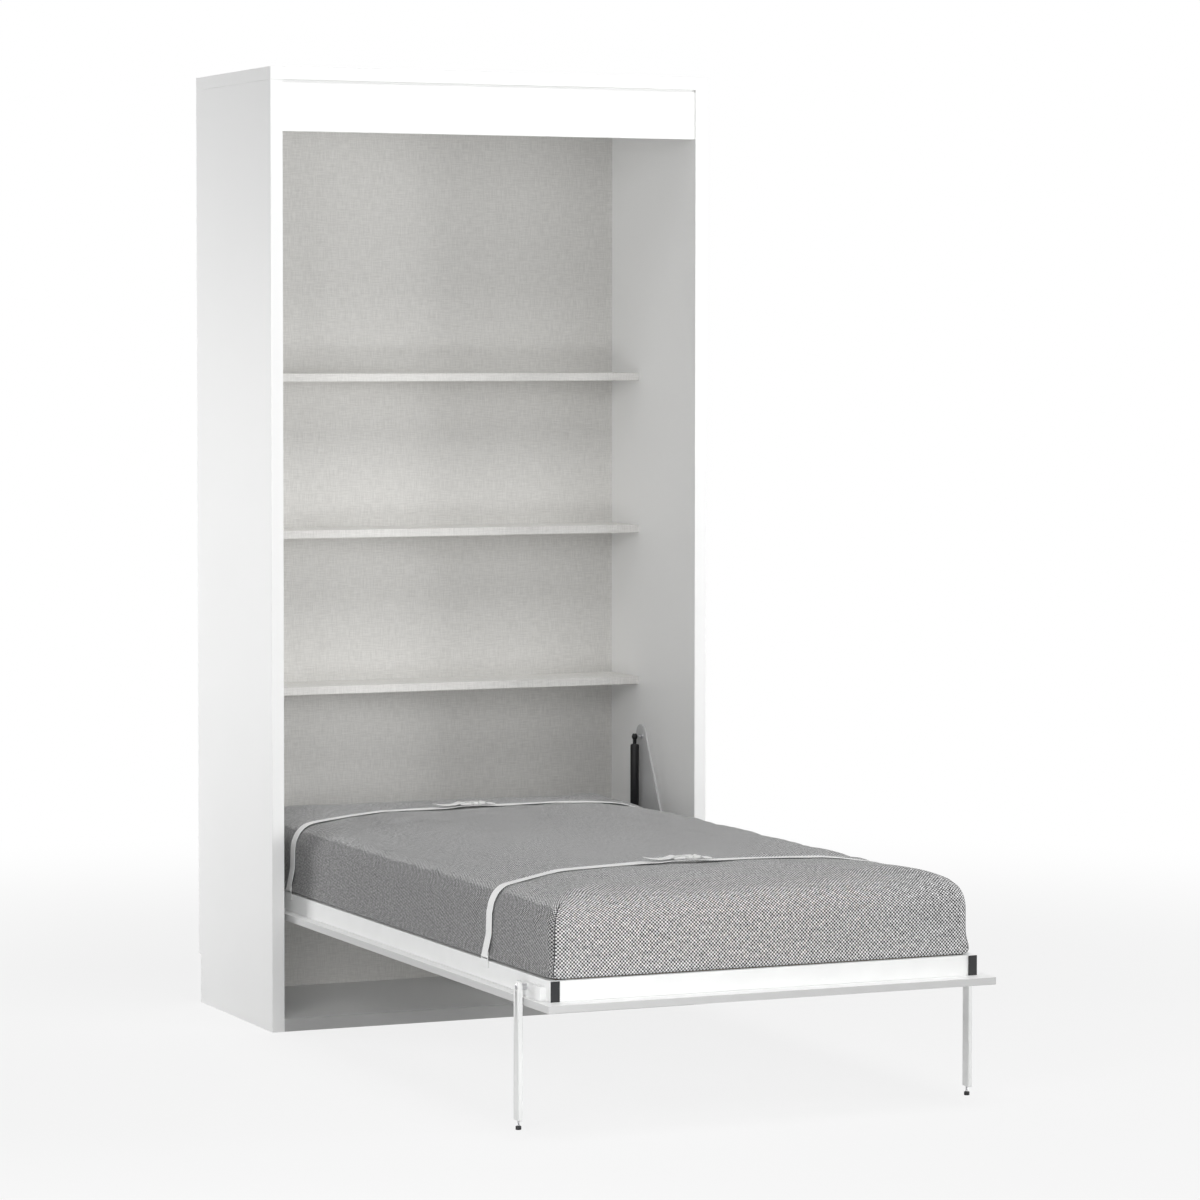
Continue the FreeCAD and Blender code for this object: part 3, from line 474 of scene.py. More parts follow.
def mattressStart(low, high, look):
    # The cover before it is filled: insets and heights from the base, up the wall and over the
    # top roll to the crown, each a round-cornered ring, with a flat cap at each end.
    middle = (low + high) / 2
    half = (high - low) / 2
    tall = high[2] - low[2] - look["crown"]
    quarter = np.linspace(0, math.pi / 2, 9)
    base = look["baseRoll"]
    roll = look["roll"]
    insets = [base * (1 - np.sin(quarter)), np.zeros(3), roll * (1 - np.cos(quarter))]
    heights = [base * (1 - np.cos(quarter)), np.linspace(base, tall - roll, 5)[1:4],
               tall - roll + roll * np.sin(quarter)]
    share = np.linspace(0, 1, 12)[1:-1]
    flat = half[0] - roll - look["crownStop"]
    insets = np.concatenate([*insets, roll + flat * share]) - look["grow"]
    heights = np.concatenate([*heights, tall + look["crown"] * (1 - (1 - share) ** 2)])
    rings = []
    for inset, height in zip(insets, heights):
        fade = (half[0] - inset) / half[0]
        radius = max(look["corner"], min(0.5 * inset, 0.2)) * fade ** 0.3
        radius = min(radius, half[0] - inset - 0.001)
        ring = roundedOutline(half[0] - inset, half[1] - inset, radius,
                              look["bowSide"] * fade, look["bowEnd"] * fade)
        rings.append(np.column_stack([ring + middle[:2], np.full(len(ring), low[2] + height)]))
    return joined([gridPart(np.array(rings))])


def remeshed(points, faces, voxel):
    # The closed form as an even mesh of small squares.
    mesh = bpy.data.meshes.new("start")
    mesh.from_pydata(points.tolist(), [], faces)
    start = placed("start", mesh)
    change = start.modifiers.new("even", "REMESH")
    change.mode = "VOXEL"
    change.voxel_size = voxel
    return applied(start)


def applied(piece):
    # The piece's mesh with its modifiers worked out, in place of the piece itself.
    graph = bpy.context.evaluated_depsgraph_get()
    mesh = bpy.data.meshes.new_from_object(piece.evaluated_get(graph))
    bpy.data.objects.remove(piece)
    return mesh


def filled(mesh, look, baseHeight):
    # Air pressure swells the cover for some frames, held at its base; no point moves past the cap.
    start = read(mesh.vertices, "co")
    piece = placed("filling", mesh)
    held = piece.vertex_groups.new(name="held")
    held.add(np.flatnonzero(start[:, 2] < baseHeight).tolist(), 1.0, "REPLACE")
    cloth = piece.modifiers.new("fill", "CLOTH")
    cloth.settings.use_pressure = True
    cloth.settings.uniform_pressure_force = look["pressure"]
    cloth.settings.effector_weights.gravity = 0.0
    cloth.settings.vertex_group_mass = "held"
    cloth.settings.quality = 4
    cloth.settings.bending_stiffness = 3.0
    cloth.collision_settings.use_collision = False
    cloth.point_cache.frame_end = look["frames"]
    for number in range(1, look["frames"] + 1):
        scene.frame_set(number)
    mesh = applied(piece)
    scene.frame_set(1)
    moved = read(mesh.vertices, "co") - start
    far = np.linalg.norm(moved, axis=1)[:, None]
    kept = start + moved * np.minimum(1.0, look["cap"] / np.maximum(far, 1e-9))
    mesh.vertices.foreach_set("co", kept.ravel())
    print("mattress filled: moved", round(float(far.max()) * 1000, 1), "mm at most")
    return mesh


def softWaves(x, y, span, count, generator):
    # A sum of plane waves of mixed directions and lengths, about -1 to 1.
    total = np.zeros(len(x))
    for number in range(count):
        angle, phase = generator.uniform(0, 2 * math.pi, 2)
        length = generator.uniform(*span)
        total += np.sin((x * math.cos(angle) + y * math.sin(angle)) * 2 * math.pi / length + phase)
    return total / count ** 0.5 / 1.5


def clothMap(mesh, low, high, look):
    # Map in metres that runs from the top over the roll and down each wall: a wall's height is
    # added to the width or length, so the weave goes over the roll unbroken and breaks at corners.
    points = read(mesh.vertices, "co")
    middle = (low + high) / 2
    x, y = points[:, 0] - middle[0], points[:, 1] - middle[1]
    roll = look["roll"]
    half = (high - low) / 2
    centreZ = high[2] - look["crown"] - roll

    def unrolled(across, halfWidth):
        out = np.abs(across) - (halfWidth - roll)
        angle = np.arctan2(np.maximum(out, 0), np.maximum(points[:, 2] - centreZ, 1e-6))
        drop = np.maximum(centreZ - points[:, 2], 0)
        bent = halfWidth - roll + roll * np.minimum(angle, math.pi / 2) + drop
        return np.where(out > 0, np.sign(across) * bent, across)

    wide = unrolled(x, half[0])
    deep = unrolled(y, half[1])
    centres = np.abs(read(mesh.polygons, "center") - middle)
    sideFace = (half[0] - centres[:, 0]) < (half[1] - centres[:, 1])
    onSide = np.repeat(sideFace, read(mesh.polygons, "loop_total", 1, np.int32))
    loops = read(mesh.loops, "vertex_index", 1, np.int32)
    u = np.where(onSide, wide[loops], x[loops])
    v = np.where(onSide, y[loops], deep[loops])
    layer = mesh.uv_layers.new(name="cloth")
    layer.data.foreach_set("uv", np.column_stack([u, v]).ravel())


def makeMattress(look):
    low, high = [np.array(corner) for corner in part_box("mattress")]
    points, faces = mattressStart(low, high, look)
    mesh = remeshed(points, faces, look["voxel"])
    print("mattress start:", len(mesh.vertices), "points")
    mesh = filled(mesh, look, low[2] + look["held"])
    smooth = placed("smooth", mesh)
    change = smooth.modifiers.new("finer", "SUBSURF")
    change.levels = change.render_levels = 1
    mesh = applied(smooth)
    normals = read(mesh.vertices, "normal")
    points = read(mesh.vertices, "co")
    x, y, z = points.T
    generator = np.random.default_rng(look["seed"])
    lumps = softWaves(x, y, look["lumpLengths"], 14, generator) * look["lumps"]
    ripples = softWaves(x, y, look["rippleLengths"], 22, generator) * look["ripples"]
    upper = np.clip((z - low[2] - look["calm"]) / look["calmRun"], 0, 1)
    dent = np.zeros(len(points))
    for strapY in strapPlaces():
        dent += np.exp(-((y - strapY) / look["strapSpread"]) ** 2)
    moved = (lumps + ripples) * upper - look["strapDent"] * dent * upper
    points += normals * moved[:, None]
    points[:, 2] = np.maximum(points[:, 2], low[2])
    mesh.vertices.foreach_set("co", points.ravel())
    mesh.name = "mattressCover"
    mesh.shade_smooth()
    clothMap(mesh, low, high, look)
    mesh.materials.clear()
    mesh.materials.append(finishes["mattress_cover"])
    piece = placed("mattressCover", mesh)
    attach(piece, "bed")
    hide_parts("mattress")
    print("mattress:", len(points), "points")
    return points


def strapPlaces():
    boxes = [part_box(name) for name in ("strap_foot", "strap_head")]
    return [(low[1] + high[1]) / 2 for low, high in boxes]


strapLook = dict(width=0.030, thick=0.0014, clear=0.0006, hullHeight=0.40, hullDrop=0.03,
                 hemHeight=0.014, slotDown=0.006, anchorSteel=0.002, anchorGap=0.0004,
                 edgeLow=0.016, edgeHigh=0.10, wander=0.0012, lift=0.0028, liftRun=0.050)


def hullPath(section, clear, count):
    # The line of a taut band over a cross-section (x, z): for each direction, from a little below
    # level on one side to the same on the other, the furthest point, moved out by the clearance.
    angles = np.linspace(math.radians(-20), math.radians(200), count)
    directions = np.stack([np.cos(angles), np.sin(angles)], 1)
    furthest = section[np.argmax(section @ directions.T, axis=0)]
    return furthest + directions * clear


def bandPoints(path, width, thick, lean):
    # A flat band with round edges carried along a path (x, y, z) that lies across the bed, leaned
    # over by a share of the upward direction at each point; its map is in metres.
    ahead = unit(np.gradient(path, axis=0))
    side = unit(np.array([0.0, 1.0, 0.0]) + lean[:, None] * np.array([0.0, 0.0, 1.0]))
    up = unit(np.cross(ahead, side))
    side = np.cross(up, ahead)
    a = np.linspace(-math.pi / 2, math.pi / 2, 6)
    flat = np.linspace(-1, 1, 9)[1:-1]
    half = thick / 2
    inner = width / 2 - half
    s = np.r_[inner + half * np.cos(a), -flat * inner, -inner - half * np.cos(a), flat * inner]
    h = np.r_[half * np.sin(a), np.full(7, half), -half * np.sin(a), np.full(7, -half)]
    ring = path[:, None] + side[:, None] * s[None, :, None] + up[:, None] * h[None, :, None]
    run = np.broadcast_to(lengths(path)[:, None], ring.shape[:2])
    maps = np.stack([np.broadcast_to(s, run.shape), run], -1)
    return *joined([gridPart(ring)]), maps.reshape(-1, 2)


def makeStrap(name, node, fabric, look, generator):
    # A taut band over the cover. At each side it comes down outside, goes in through the anchor's
    # slot and turns up inside as a short hem.
    low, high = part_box(node)
    y = (low[1] + high[1]) / 2
    half = look["thick"] / 2
    near = fabric[np.abs(fabric[:, 1] - y) < look["width"] * 0.7]
    centre = np.array([0.0, look["hullHeight"]])
    section = near[:, [0, 2]] - centre
    section = section[section[:, 1] > -look["hullDrop"]]
    over = hullPath(section, look["clear"] + half, 400) + centre
    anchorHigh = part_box("strap_anchors")[1]
    slotZ = anchorHigh[2] - look["slotDown"]
    outside = high[0] - half
    inside = anchorHigh[0] - look["anchorSteel"] - (half + look["anchorGap"])
    right = np.array([(inside, slotZ + look["hemHeight"]), (inside, slotZ), (outside, slotZ)])
    line = evenly(np.concatenate([right, over, right[::-1] * [-1, 1]]), 900)
    # beside the cover's lower edge the strap is kept clear of the cover
    levels = np.linspace(slotZ + 0.012, slotZ + look["edgeHigh"], 12)
    reach = [np.abs(near[np.abs(near[:, 2] - level) < 0.008, 0]).max() for level in levels]
    clearOf = np.interp(line[:, 1], levels, reach) + look["clear"] + half
    beside = (line[:, 1] > slotZ + look["edgeLow"]) & (line[:, 1] < slotZ + look["edgeHigh"])
    pushed = np.sign(line[:, 0]) * np.maximum(np.abs(line[:, 0]), clearOf)
    line[:, 0] = np.where(beside, pushed, line[:, 0])
    line = smoothed(line, 3)
    buckleLow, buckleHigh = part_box("strap_buckles")
    apart = (line[:, 0] - (buckleLow[0] + buckleHigh[0]) / 2) / look["liftRun"]
    line[:, 1] += look["lift"] * np.exp(-apart ** 4) * (line[:, 1] > line[:, 1].max() - 0.03)
    sway = softWaves(line[:, 0], np.zeros(len(line)), (0.2, 0.6), 5, generator) * look["wander"]
    path = np.column_stack([line[:, 0], y + sway, line[:, 1]])
    lean = softWaves(line[:, 0], np.zeros(len(line)), (0.15, 0.4), 5, generator) * 0.04
    points, faces, maps = bandPoints(path, look["width"], look["thick"], lean)
    piece = meshPiece(name, points, faces, "bed", "webbing", maps)
    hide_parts(node)
    return path


coverPoints = makeMattress(mattressLook)
generator = np.random.default_rng(5)
strapPaths = [makeStrap("strapFoot", "strap_foot", coverPoints, strapLook, generator),
              makeStrap("strapHead", "strap_head", coverPoints, strapLook, generator)]
print("straps done")


def solidBoxes(name):
    # The box of each separate solid of a node: triangles that share a point get one label.
    mesh = cadNodes[name].data
    corners = np.round(read(mesh.vertices, "co"), 6)
    points, index = np.unique(corners, axis=0, return_inverse=True)
    triangles = index.ravel()[read(mesh.loops, "vertex_index", 1, np.int32)].reshape(-1, 3)
    label = np.arange(len(points))
    changed = True
    while changed:
        lower = label.copy()
        least = label[triangles].min(axis=1)
        for corner in range(3):
            np.minimum.at(lower, triangles[:, corner], least)
        changed = bool((lower != label).any())
        label = lower
    return [(points[label == one].min(0), points[label == one].max(0)) for one in np.unique(label)]


def turned(start, axis, profile, turns=40):
    # A turned form: (radius, distance) pairs carried round an axis; a radius may be one value or
    # one for each direction, as a hexagon's is.
    axis = np.array(axis, float)
    side = np.cross(axis, (0.0, 0.0, 1.0) if abs(axis[2]) < 0.9 else (0.0, -1.0, 0.0))
    other = np.cross(axis, side)
    angle = circle(turns)
    spokes = np.cos(angle)[:, None] * side + np.sin(angle)[:, None] * other
    radii = np.stack([np.broadcast_to(radius, turns) for radius, run in profile])
    runs = np.array([run for radius, run in profile])
    points = np.array(start) + runs[:, None, None] * axis + radii[:, :, None] * spokes
    return gridPart(points)


def hexagon(flats, turns=48, corner=1.0):
    # Radius of a hexagon in each direction; corner below 1 rounds it off by a circle.
    angle = circle(turns)
    radius = flats / 2 / np.cos(angle % (math.pi / 3) - math.pi / 6)
    return np.minimum(radius, flats / math.sqrt(3) * corner)


def roundStep(radiusFrom, radiusTo, runFrom, runTo):
    # A quarter-round shoulder between two radii of a profile, bulging outwards.
    a = np.linspace(0, math.pi / 2, 6)
    if radiusTo > radiusFrom:
        radii = radiusFrom + (radiusTo - radiusFrom) * np.sin(a)
        runs = runFrom + (runTo - runFrom) * (1 - np.cos(a))
    else:
        radii = radiusTo + (radiusFrom - radiusTo) * np.cos(a)
        runs = runFrom + (runTo - runFrom) * np.sin(a)
    return list(zip(radii, runs))


def bodyPiece(name, parts, body, slotName, node=None):
    # One piece from several parts, smooth but for its sharp edges, in place of a node if given.
    points, faces = joined(parts)
    piece = meshPiece(name, points, faces, body, slotName)
    piece.data.set_sharp_from_angle(angle=math.radians(38))
    if node:
        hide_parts(node)


strutLook = dict(rod=0.005, rodGap=0.00005, shoulder=0.0045, crimp=0.0007, crimpAt=0.014,
                 knob=0.0073, clipWire=0.0007, thread=0.00035, pitch=0.0016)


def socketParts(centre, look):
    # The ball socket: a rounded knob with flat ends, and the wire clip that holds it on its ball.
    a = np.linspace(-1.15, 1.15, 15)
    knob = [(look["knob"] * math.cos(t), look["knob"] * 1.12 * math.sin(t)) for t in a]
    wire = look["clipWire"]
    inner = look["knob"] * 0.93
    clip = [(inner + wire * (1 + math.cos(t)), wire * math.sin(t)) for t in np.linspace(0, 2 * math.pi, 9)]
    return [turned(centre, (0, 0, 1), knob)] + [turned(centre + np.array([along, 0, 0]), (1, 0, 0), clip)
                                                for along in (-0.0032, 0.0032)]


def makeStrut(tag, look):
    # Gas strut: a painted cylinder with a rolled-in groove at its gland, and a bright piston rod.
    low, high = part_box("strut_cylinder_" + tag)
    centre = (low + high) / 2
    radius = (high[1] - low[1]) / 2
    ball = np.array([centre[0], centre[1], high[2] - 0.008])
    shoulder = ball[2] - 0.018
    rodLow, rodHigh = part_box("strut_rod_" + tag)
    rod = look["rod"]
    bore = rod + look["rodGap"]
    crimped = radius - look["crimp"]
    groove = low[2] + look["crimpAt"]
    boreTop = shoulder - 0.010
    profile = [(rod * 0.5, boreTop), (bore, boreTop), (bore, low[2] + 0.0008), (rod + 0.0006, low[2])]
    profile += roundStep(radius - 0.0022, radius, low[2], low[2] + 0.0026)
    profile += [(radius, groove - 0.003), (crimped, groove - 0.0012), (crimped, groove + 0.0012),
                (radius, groove + 0.003), (radius, shoulder - look["shoulder"])]
    profile += roundStep(radius, 0.0056, shoulder - look["shoulder"], shoulder)[1:]
    for z in np.linspace(shoulder + 0.0002, ball[2] - 0.006, 22):
        turn = (z - shoulder) / look["pitch"] * 2 * math.pi
        profile.append((0.0047 + look["thread"] * math.sin(turn), z))
    profile.append((0.003, ball[2]))
    base = np.array([centre[0], centre[1], 0.0])
    parts = [turned(base, (0, 0, 1), profile)] + socketParts(ball, look)
    bodyPiece("strutCylinder_" + tag, parts, "strut_body_" + tag, "black_steel", "strut_cylinder_" + tag)
    lower = np.array([centre[0], centre[1], rodLow[2] + 0.008])
    shaft = [(rod * 0.5, lower[2]), (rod * 0.94, lower[2] + 0.0055), (rod * 0.94, lower[2] + 0.012),
             (rod, lower[2] + 0.0125), (rod, rodHigh[2] - 0.001), (rod * 0.8, rodHigh[2])]
    parts = [turned(base, (0, 0, 1), shaft)] + socketParts(lower, look)
    bodyPiece("strutRod_" + tag, parts, "strut_rod_" + tag, "bright_steel", "strut_rod_" + tag)


def inwards(name):
    # For each solid of a node that lies along X: its outer end, the direction in and its length.
    for low, high in solidBoxes(name):
        side = 1 if low[0] > 0 else -1
        end = (low + high) / 2
        end[0] = high[0] if side > 0 else low[0]
        yield end, (-side, 0, 0), high[0] - low[0]


def makeBallStuds():
    # Each stud: a riveted collar with a hexagon, a neck and the ball inside the socket.
    parts = []
    for foot, axis, reach in inwards("top_ball_studs"):
        flats = hexagon(0.0115, 40, 0.97)
        profile = [(0.0068, 0.0), (0.0070, 0.0004), (0.0070, 0.0012), (flats, 0.0013), (flats, 0.0044),
                   (0.0048, 0.0050), (0.0032, 0.0052), (0.0029, 0.0066), (0.0029, reach - 0.0098)]
        ball = np.linspace(-0.8, 1.45, 14)
        profile += [(0.005 * math.cos(t), reach - 0.005 + 0.005 * math.sin(t)) for t in ball]
        parts.append(turned(foot, axis, profile))
    bodyPiece("ballStuds", parts, "cabinet", "bright_steel", "top_ball_studs")


def makeLegFixings():
    # Bolts with a round head and a hexagon socket, threaded to their end, and chamfered nuts.
    parts = []
    for face, axis, reach in inwards("leg_bolts"):
        key = hexagon(0.0060, 40)
        threads = np.linspace(0.0045, reach - 0.001, 70)
        shank = [(0.0039 + 0.00010 * math.sin(run / 0.00125 * 2 * math.pi), run) for run in threads]
        profile = [(0.0004, 0.0031), (key * 0.98, 0.0026), (key, 0.0002), (key * 1.06, 0.0)]
        profile += [(0.0058, 0.0), (0.0063, 0.0003), (0.0065, 0.0009), (0.0065, 0.0040), (0.0040, 0.0040)]
        parts.append(turned(face, axis, profile + shank + [(0.0030, reach)]))
    bodyPiece("legBolts", parts, "bed", "bright_steel", "leg_bolts")
    parts = []
    for low, high in solidBoxes("leg_nuts"):
        centre = (low + high) / 2
        tall = high[0] - low[0]
        bore = 0.00405
        flats = min(high[1] - low[1], high[2] - low[2])
        start = np.array([low[0], centre[1], centre[2]])
        ends = hexagon(flats, 48, 0.93)
        whole = hexagon(flats)
        profile = [(bore, tall), (bore, 0.0), (ends, 0.0), (whole, 0.0007), (whole, tall - 0.0007),
                   (ends, tall)]
        points = turned(start, (1, 0, 0), profile, 48)[0]
        parts.append((points, gridFaces(len(profile), 48, True), []))
    bodyPiece("legNuts", parts, "bed", "bright_steel", "leg_nuts")


def makeFoot(tag):
    # Levelling foot: a round pad with a knurled rim, and the bright threaded stud that it turns on.
    low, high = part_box("levelling_foot_" + tag)
    centre = (low + high) / 2
    start = np.array([centre[0], centre[1], 0.0])
    radius = (high[1] - low[1]) / 2
    knurl = 1 + 0.012 * np.sin(circle(48) * 24)
    pad = [(radius * 0.86, 0.0), (radius * 0.97, 0.0004), (radius * knurl, 0.0011), (radius * knurl, 0.0066),
           (radius * 0.96, 0.0073), (radius * 0.66, 0.0076), (radius * 0.58, 0.0084)]
    runs = np.linspace(0.0078, high[2] - 0.0005, 130)
    stud = [(0.0023 + 0.00018 * math.sin(z / 0.0010 * 2 * math.pi), z) for z in runs]
    bodyPiece("foot_" + tag, [turned(start, (0, 0, 1), pad, 48)], "leg_" + tag, "black_plastic",
              "levelling_foot_" + tag)
    bodyPiece("footStud_" + tag, [turned(start, (0, 0, 1), stud, 20)], "leg_" + tag, "bright_steel")


def screwParts(name, axis, headHeight, countersunk):
    # A screw for each solid of a node, with a cross recess in its head. A level screw points away
    # from the bed's middle.
    parts = []
    level = abs(axis[0]) > 0.5
    for low, high in solidBoxes(name):
        size = high - low
        reach = float(np.abs(size @ np.abs(axis)))
        ahead = np.array(axis, float) * (-1 if level and low[0] < 0 else 1)
        start = (low + high) / 2 - ahead * reach / 2
        head = float(max(size[1], size[2 if level else 0])) / 2
        cross = head * (0.16 + 0.42 * np.abs(np.cos(2 * circle(40))) ** 4)
        shank = head * 0.48
        profile = [(head * 0.05, headHeight * 0.75), (cross * 0.7, headHeight * 0.7), (cross, 0.0)]
        if countersunk:
            profile += [(head * 0.97, 0.0), (head, headHeight * 0.08), (shank, headHeight)]
        else:
            profile += roundStep(head * 0.75, head, 0.0, headHeight * 0.8)
            profile += [(head, headHeight), (shank, headHeight)]
        for run in np.linspace(headHeight * 1.2, reach * 0.9, 40):
            profile.append((shank * (0.92 + 0.08 * math.sin(run / 0.0016 * 2 * math.pi)), run))
        profile.append((shank * 0.15, reach))
        parts.append(turned(start, ahead, profile))
    return parts


for tag in ("right", "left"):
    makeStrut(tag, strutLook)
makeBallStuds()
makeLegFixings()
for tag in ("right", "left"):
    makeFoot(tag)
panelScrews = screwParts("panel_screws", (0, 0, -1), 0.003, False)
plateScrews = screwParts("lift_plate_screws", (1, 0, 0), 0.0025, True)
bodyPiece("panelScrews", panelScrews, "bed", "bright_steel", "panel_screws")
bodyPiece("plateScrews", plateScrews, "cabinet", "bright_steel", "lift_plate_screws")
print("turned pieces done")


buckleLook = dict(body=0.0165, thick=0.0082, edge=0.0016, bar=(0.0016, 0.0021), rail=(0.0017, 0.0024),
                  prong=(0.0016, 0.0020))


def cornersCut(corners):
    # A smooth closed outline: every corner is cut off again and again.
    points = np.array(corners, float)
    for number in range(3):
        after = np.roll(points, -1, 0)
        points = np.stack([points * 0.8 + after * 0.2, points * 0.2 + after * 0.8], 1).reshape(-1, 2)
    return points


def slab(corners, low, high, edge):
    # A flat plate with quarter-round edges, drawn in towards its middle at both faces. Its corners
    # are given on one side of the X axis and mirrored.
    outline = cornersCut(corners + [(x, -y) for x, y in corners[::-1]])
    middle = outline.mean(0)
    size = np.abs(outline - middle).max()
    a = np.linspace(0, math.pi / 2, 4)
    insets = np.r_[edge * (1 - np.sin(a)), edge * (1 - np.cos(a))]
    heights = np.r_[low + edge * (1 - np.cos(a)), high - edge + edge * np.sin(a)]
    flat = middle + (outline - middle) * (1 - insets[:, None, None] / size)
    tall = np.broadcast_to(heights[:, None, None], (*flat.shape[:2], 1))
    return gridPart(np.concatenate([flat, tall], 2))


def swept(path, shape):
    # A cross-section (sideways, up) carried along a level path (x, y, z), with flat ends.
    ahead = unit(np.gradient(path, axis=0))
    side = unit(np.cross((0.0, 0.0, 1.0), ahead))
    upright = np.cross(ahead, side)
    across = side[:, None] * shape[None, :, :1] + upright[:, None] * shape[None, :, 1:]
    return gridPart(path[:, None] + across)


def softSquare(halfWide, halfTall):
    # Cross-section between an ellipse and a rectangle.
    a = circle(20)
    c, s = np.cos(a), np.sin(a)
    return np.column_stack([halfWide * np.sign(c) * np.abs(c) ** 0.55,
                            halfTall * np.sign(s) * np.abs(s) ** 0.55])


def buckleParts(look):
    # Side-release buckle along X: the socket half on the right with its side notches, the half
    # with two sprung prongs on the left, and bars for the webbing at each end.
    half = look["body"]
    thick = look["thick"]
    middle = thick / 2
    notch = half * 0.70
    socket = [(0.0005, -half), (0.0050, -half), (0.0075, -notch), (0.0135, -notch), (0.0155, -half),
              (0.0205, -half * 0.97)]
    plug = [(-0.0125, -half * 0.97), (-0.0045, -half), (-0.0035, -half * 0.5)]
    guide = [(-0.0050, -0.0022), (0.0030, -0.0022)]
    parts = [slab(socket, 0.0004, thick, look["edge"]), slab(plug, 0.0009, thick - 0.0006, look["edge"]),
             slab(guide, 0.0020, thick - 0.0020, 0.0006)]
    for x in (0.0165, 0.0129, 0.0093):
        rib = [(x, -half * 0.72), (x + 0.0017, -half * 0.72)]
        parts.append(slab(rib, thick - 0.0004, thick + 0.0005, 0.0004))
    t = np.linspace(0, 1, 24)[:, None]
    bends = ((-0.0060, 0.0085), (0.0010, half), (0.0095, half * 1.12), (0.0140, 0.0100))
    for sign in (-1, 1):
        a, b, c, d = [np.array([x, sign * y, middle]) for x, y in bends]
        bow = a * (1 - t) ** 3 + 3 * b * t * (1 - t) ** 2 + 3 * c * t ** 2 * (1 - t) + d * t ** 3
        parts.append(swept(bow, softSquare(*look["prong"])))
        for start, end in ((-0.0305, -0.0100), (0.0180, 0.0305)):
            y = sign * (half - 0.0017)
            rail = np.linspace((start, y, middle), (end, y, middle), 5)
            parts.append(swept(rail, softSquare(*look["rail"])))
    for x in (-0.0300, -0.0215, 0.0300):
        bar = np.linspace((x, -half + 0.001, middle), (x, half - 0.001, middle), 5)
        parts.append(swept(bar, softSquare(*look["bar"])))
    return parts


# the webbing's fold at each end of a buckle: (along, height) points, listed
tailRuns = dict(
    left=[(-0.0180, 0.0022), (-0.0190, 0.0062), (-0.0215, 0.0080), (-0.0260, 0.0082), (-0.0302, 0.0078),
          (-0.0350, 0.0056), (-0.0430, 0.0036), (-0.0560, 0.0028), (-0.0720, 0.0034), (-0.0860, 0.0052),
          (-0.0930, 0.0070)],
    right=[(0.0262, 0.0022), (0.0270, 0.0062), (0.0298, 0.0080), (0.0335, 0.0066), (0.0390, 0.0034),
           (0.0470, 0.0022), (0.0600, 0.0020)],
)


def makeBuckle(name, path, places, look):
    # The buckle and its two webbing folds, set on the strap's upper face and turned to its slope.
    x = (places[0][0] + places[1][0]) / 2
    top = path[path[:, 2] > path[:, 2].max() - 0.03]
    order = np.argsort(top[:, 0])
    height = np.interp([x - 0.02, x, x + 0.02], top[order, 0], top[order, 2])
    y = float(np.interp(x, top[order, 0], top[order, 1]))
    slope = math.atan2(height[2] - height[0], 0.04)
    c, s = math.cos(slope), math.sin(slope)
    turn = np.array([[c, 0, -s], [0, 1, 0], [s, 0, c]])
    base = np.array([x, y, height[1] + strapLook["thick"] / 2])
    parts = [(points @ turn.T + base, quads, caps) for points, quads, caps in buckleParts(look)]
    for tag, run in tailRuns.items():
        run = np.array(run)
        line = evenly(np.column_stack([run[:, 0], np.zeros(len(run)), run[:, 1]]), 90)
        line = smoothed(line, 4)
        if tag == "left":
            line = line[::-1]
        points, faces, maps = bandPoints(line @ turn.T + base, strapLook["width"] * 0.97,
                                         strapLook["thick"], np.zeros(len(line)))
        meshPiece(name + "_" + tag, points, faces, "bed", "webbing", maps)
    return parts


buckleBoxes = sorted(solidBoxes("strap_buckles"), key=lambda box: box[0][1])
halves = []
for name, path, places in zip(("foldFoot", "foldHead"), strapPaths, buckleBoxes):
    halves += makeBuckle(name, path, places, buckleLook)
bodyPiece("strapBuckles", halves, "bed", "buckle_plastic", "strap_buckles")
print("buckles done")


stageLook = dict(reach=30, drop=0.0004, floorColour=(0.66, 0.66, 0.66), floorWhite=0.82,
                 middle=(0.0, -0.7, 0.0), nearEdge=1.5, farEdge=4.5, worldLight=0.08)


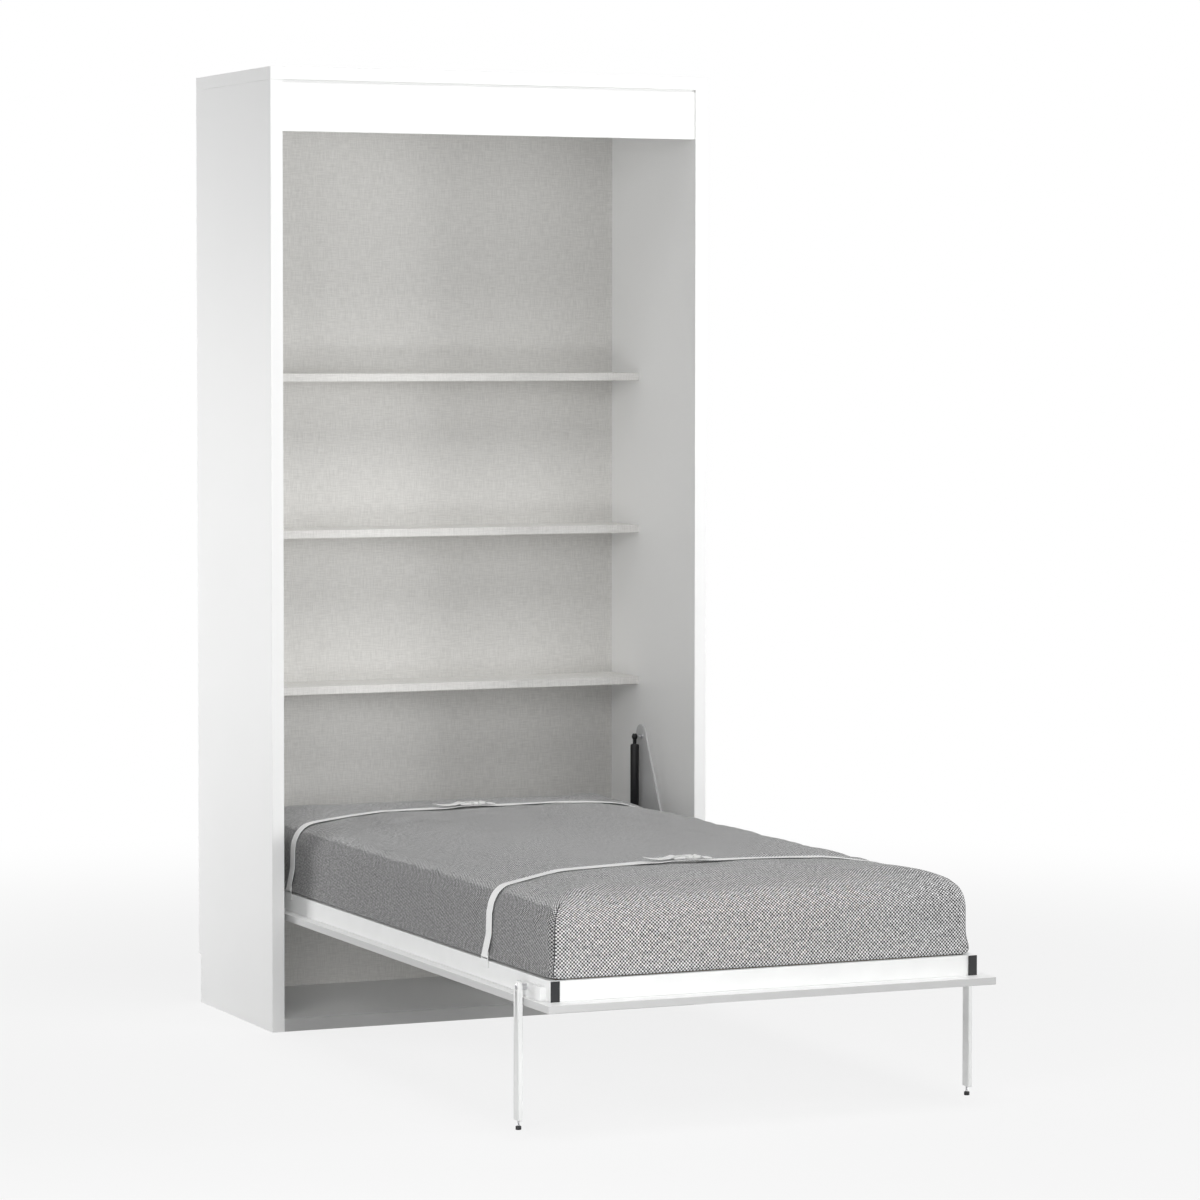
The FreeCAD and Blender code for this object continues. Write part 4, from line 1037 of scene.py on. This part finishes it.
def makeStage(look):
    # A floor that the camera sees as nearly white, and fully white further off, and a white
    # world that lights the object only faintly.
    mesh = bpy.data.meshes.new("floor")
    signs = ((-1, -1), (1, -1), (1, 1), (-1, 1))
    mesh.from_pydata([(x * look["reach"], y * look["reach"], -look["drop"]) for x, y in signs], [],
                     [(0, 1, 2, 3)])
    floor = placed("floor", mesh)
    material, w, place = paint("floorPaint")
    seen = w.node("LightPath", None, None, "Is Camera Ray")
    plain = w.node("BsdfDiffuse", None, {"Color": (*look["floorColour"], 1.0)})
    white = w.node("Emission", None, {"Color": (1, 1, 1, 1), "Strength": 1.0})
    away = w.node("VectorMath", {"operation": "DISTANCE"}, {0: place, 1: look["middle"]}, "Value")
    share = away.ramp(look["nearEdge"], look["farEdge"]) * (1.0 - look["floorWhite"]) + look["floorWhite"]
    mixed = w.node("MixShader", None, {0: seen * share, 1: plain, 2: white})
    w.node("OutputMaterial", None, {"Surface": mixed})
    mesh.materials.append(material)
    world = bpy.data.worlds.new("studio")
    scene.world = world
    world.use_nodes = True
    world.node_tree.nodes.clear()
    w = Wire(world.node_tree)
    rays = w.node("LightPath").socket.node.outputs
    straight = [Wire(w.tree, rays["Is %s Ray" % kind]) for kind in ("Camera", "Glossy", "Transmission")]
    seen = straight[0].most(straight[1]).most(straight[2])
    strength = seen * (1.0 - look["worldLight"]) + look["worldLight"]
    sky = w.node("Background", None, {"Color": (1, 1, 1, 1), "Strength": strength})
    w.node("OutputWorld", None, {"Surface": sky})


lamps = dict(
    key=dict(place=(2.3, -6.2, 1.4), aim=(0.0, -0.2, 1.2), wide=2.4, tall=1.6, power=46.0),
    right=dict(place=(4.5, -3.2, 1.5), aim=(0.0, -0.3, 1.2), wide=2.0, tall=1.6, power=130.0),
    above=dict(place=(0.3, -2.2, 4.4), aim=(0.1, -1.3, 0.5), wide=2.2, tall=2.0, power=70.0),
    leftRear=dict(place=(-2.6, 1.9, 1.0), aim=(-0.6, 0.0, 1.0), wide=1.4, tall=1.6, power=58.0),
    leftHigh=dict(place=(-3.0, -3.6, 2.3), aim=(0.4, -0.1, 1.4), wide=1.4, tall=1.4, power=44.0),
    low=dict(place=(-1.5, -3.2, 0.3), aim=(0.1, 0.0, 1.7), wide=1.4, tall=0.5, power=16.0),
)


def makeLamps(settings):
    for name, lamp in settings.items():
        light = bpy.data.lights.new(name, "AREA")
        light.shape = "RECTANGLE"
        light.size = lamp["wide"]
        light.size_y = lamp["tall"]
        light.energy = lamp["power"]
        holder = placed(name, light)
        holder.location = lamp["place"]
        ahead = Vector(lamp["aim"]) - Vector(lamp["place"])
        holder.rotation_euler = ahead.to_track_quat("-Z", "Y").to_euler()


view = dict(place=(-4.013, -9.9907, 1.6258), heading=23.808, down=2.631, roll=0.053, lens=132.939,
            shift=-0.05)


def makeCamera(look):
    data = bpy.data.cameras.new("camera")
    data.lens = look["lens"]
    data.sensor_width = 36.0
    data.shift_y = look["shift"]
    data.clip_end = 100.0
    camera = placed("camera", data)
    turn = Euler((math.radians(90 - look["down"]), 0, math.radians(-look["heading"]))).to_matrix()
    turn = turn @ Matrix.Rotation(math.radians(look["roll"]), 3, "Z")
    camera.matrix_world = Matrix.Translation(look["place"]) @ turn.to_4x4()
    scene.camera = camera


makeStage(stageLook)
makeLamps(lamps)
makeCamera(view)
scene.view_settings.view_transform = "Standard"
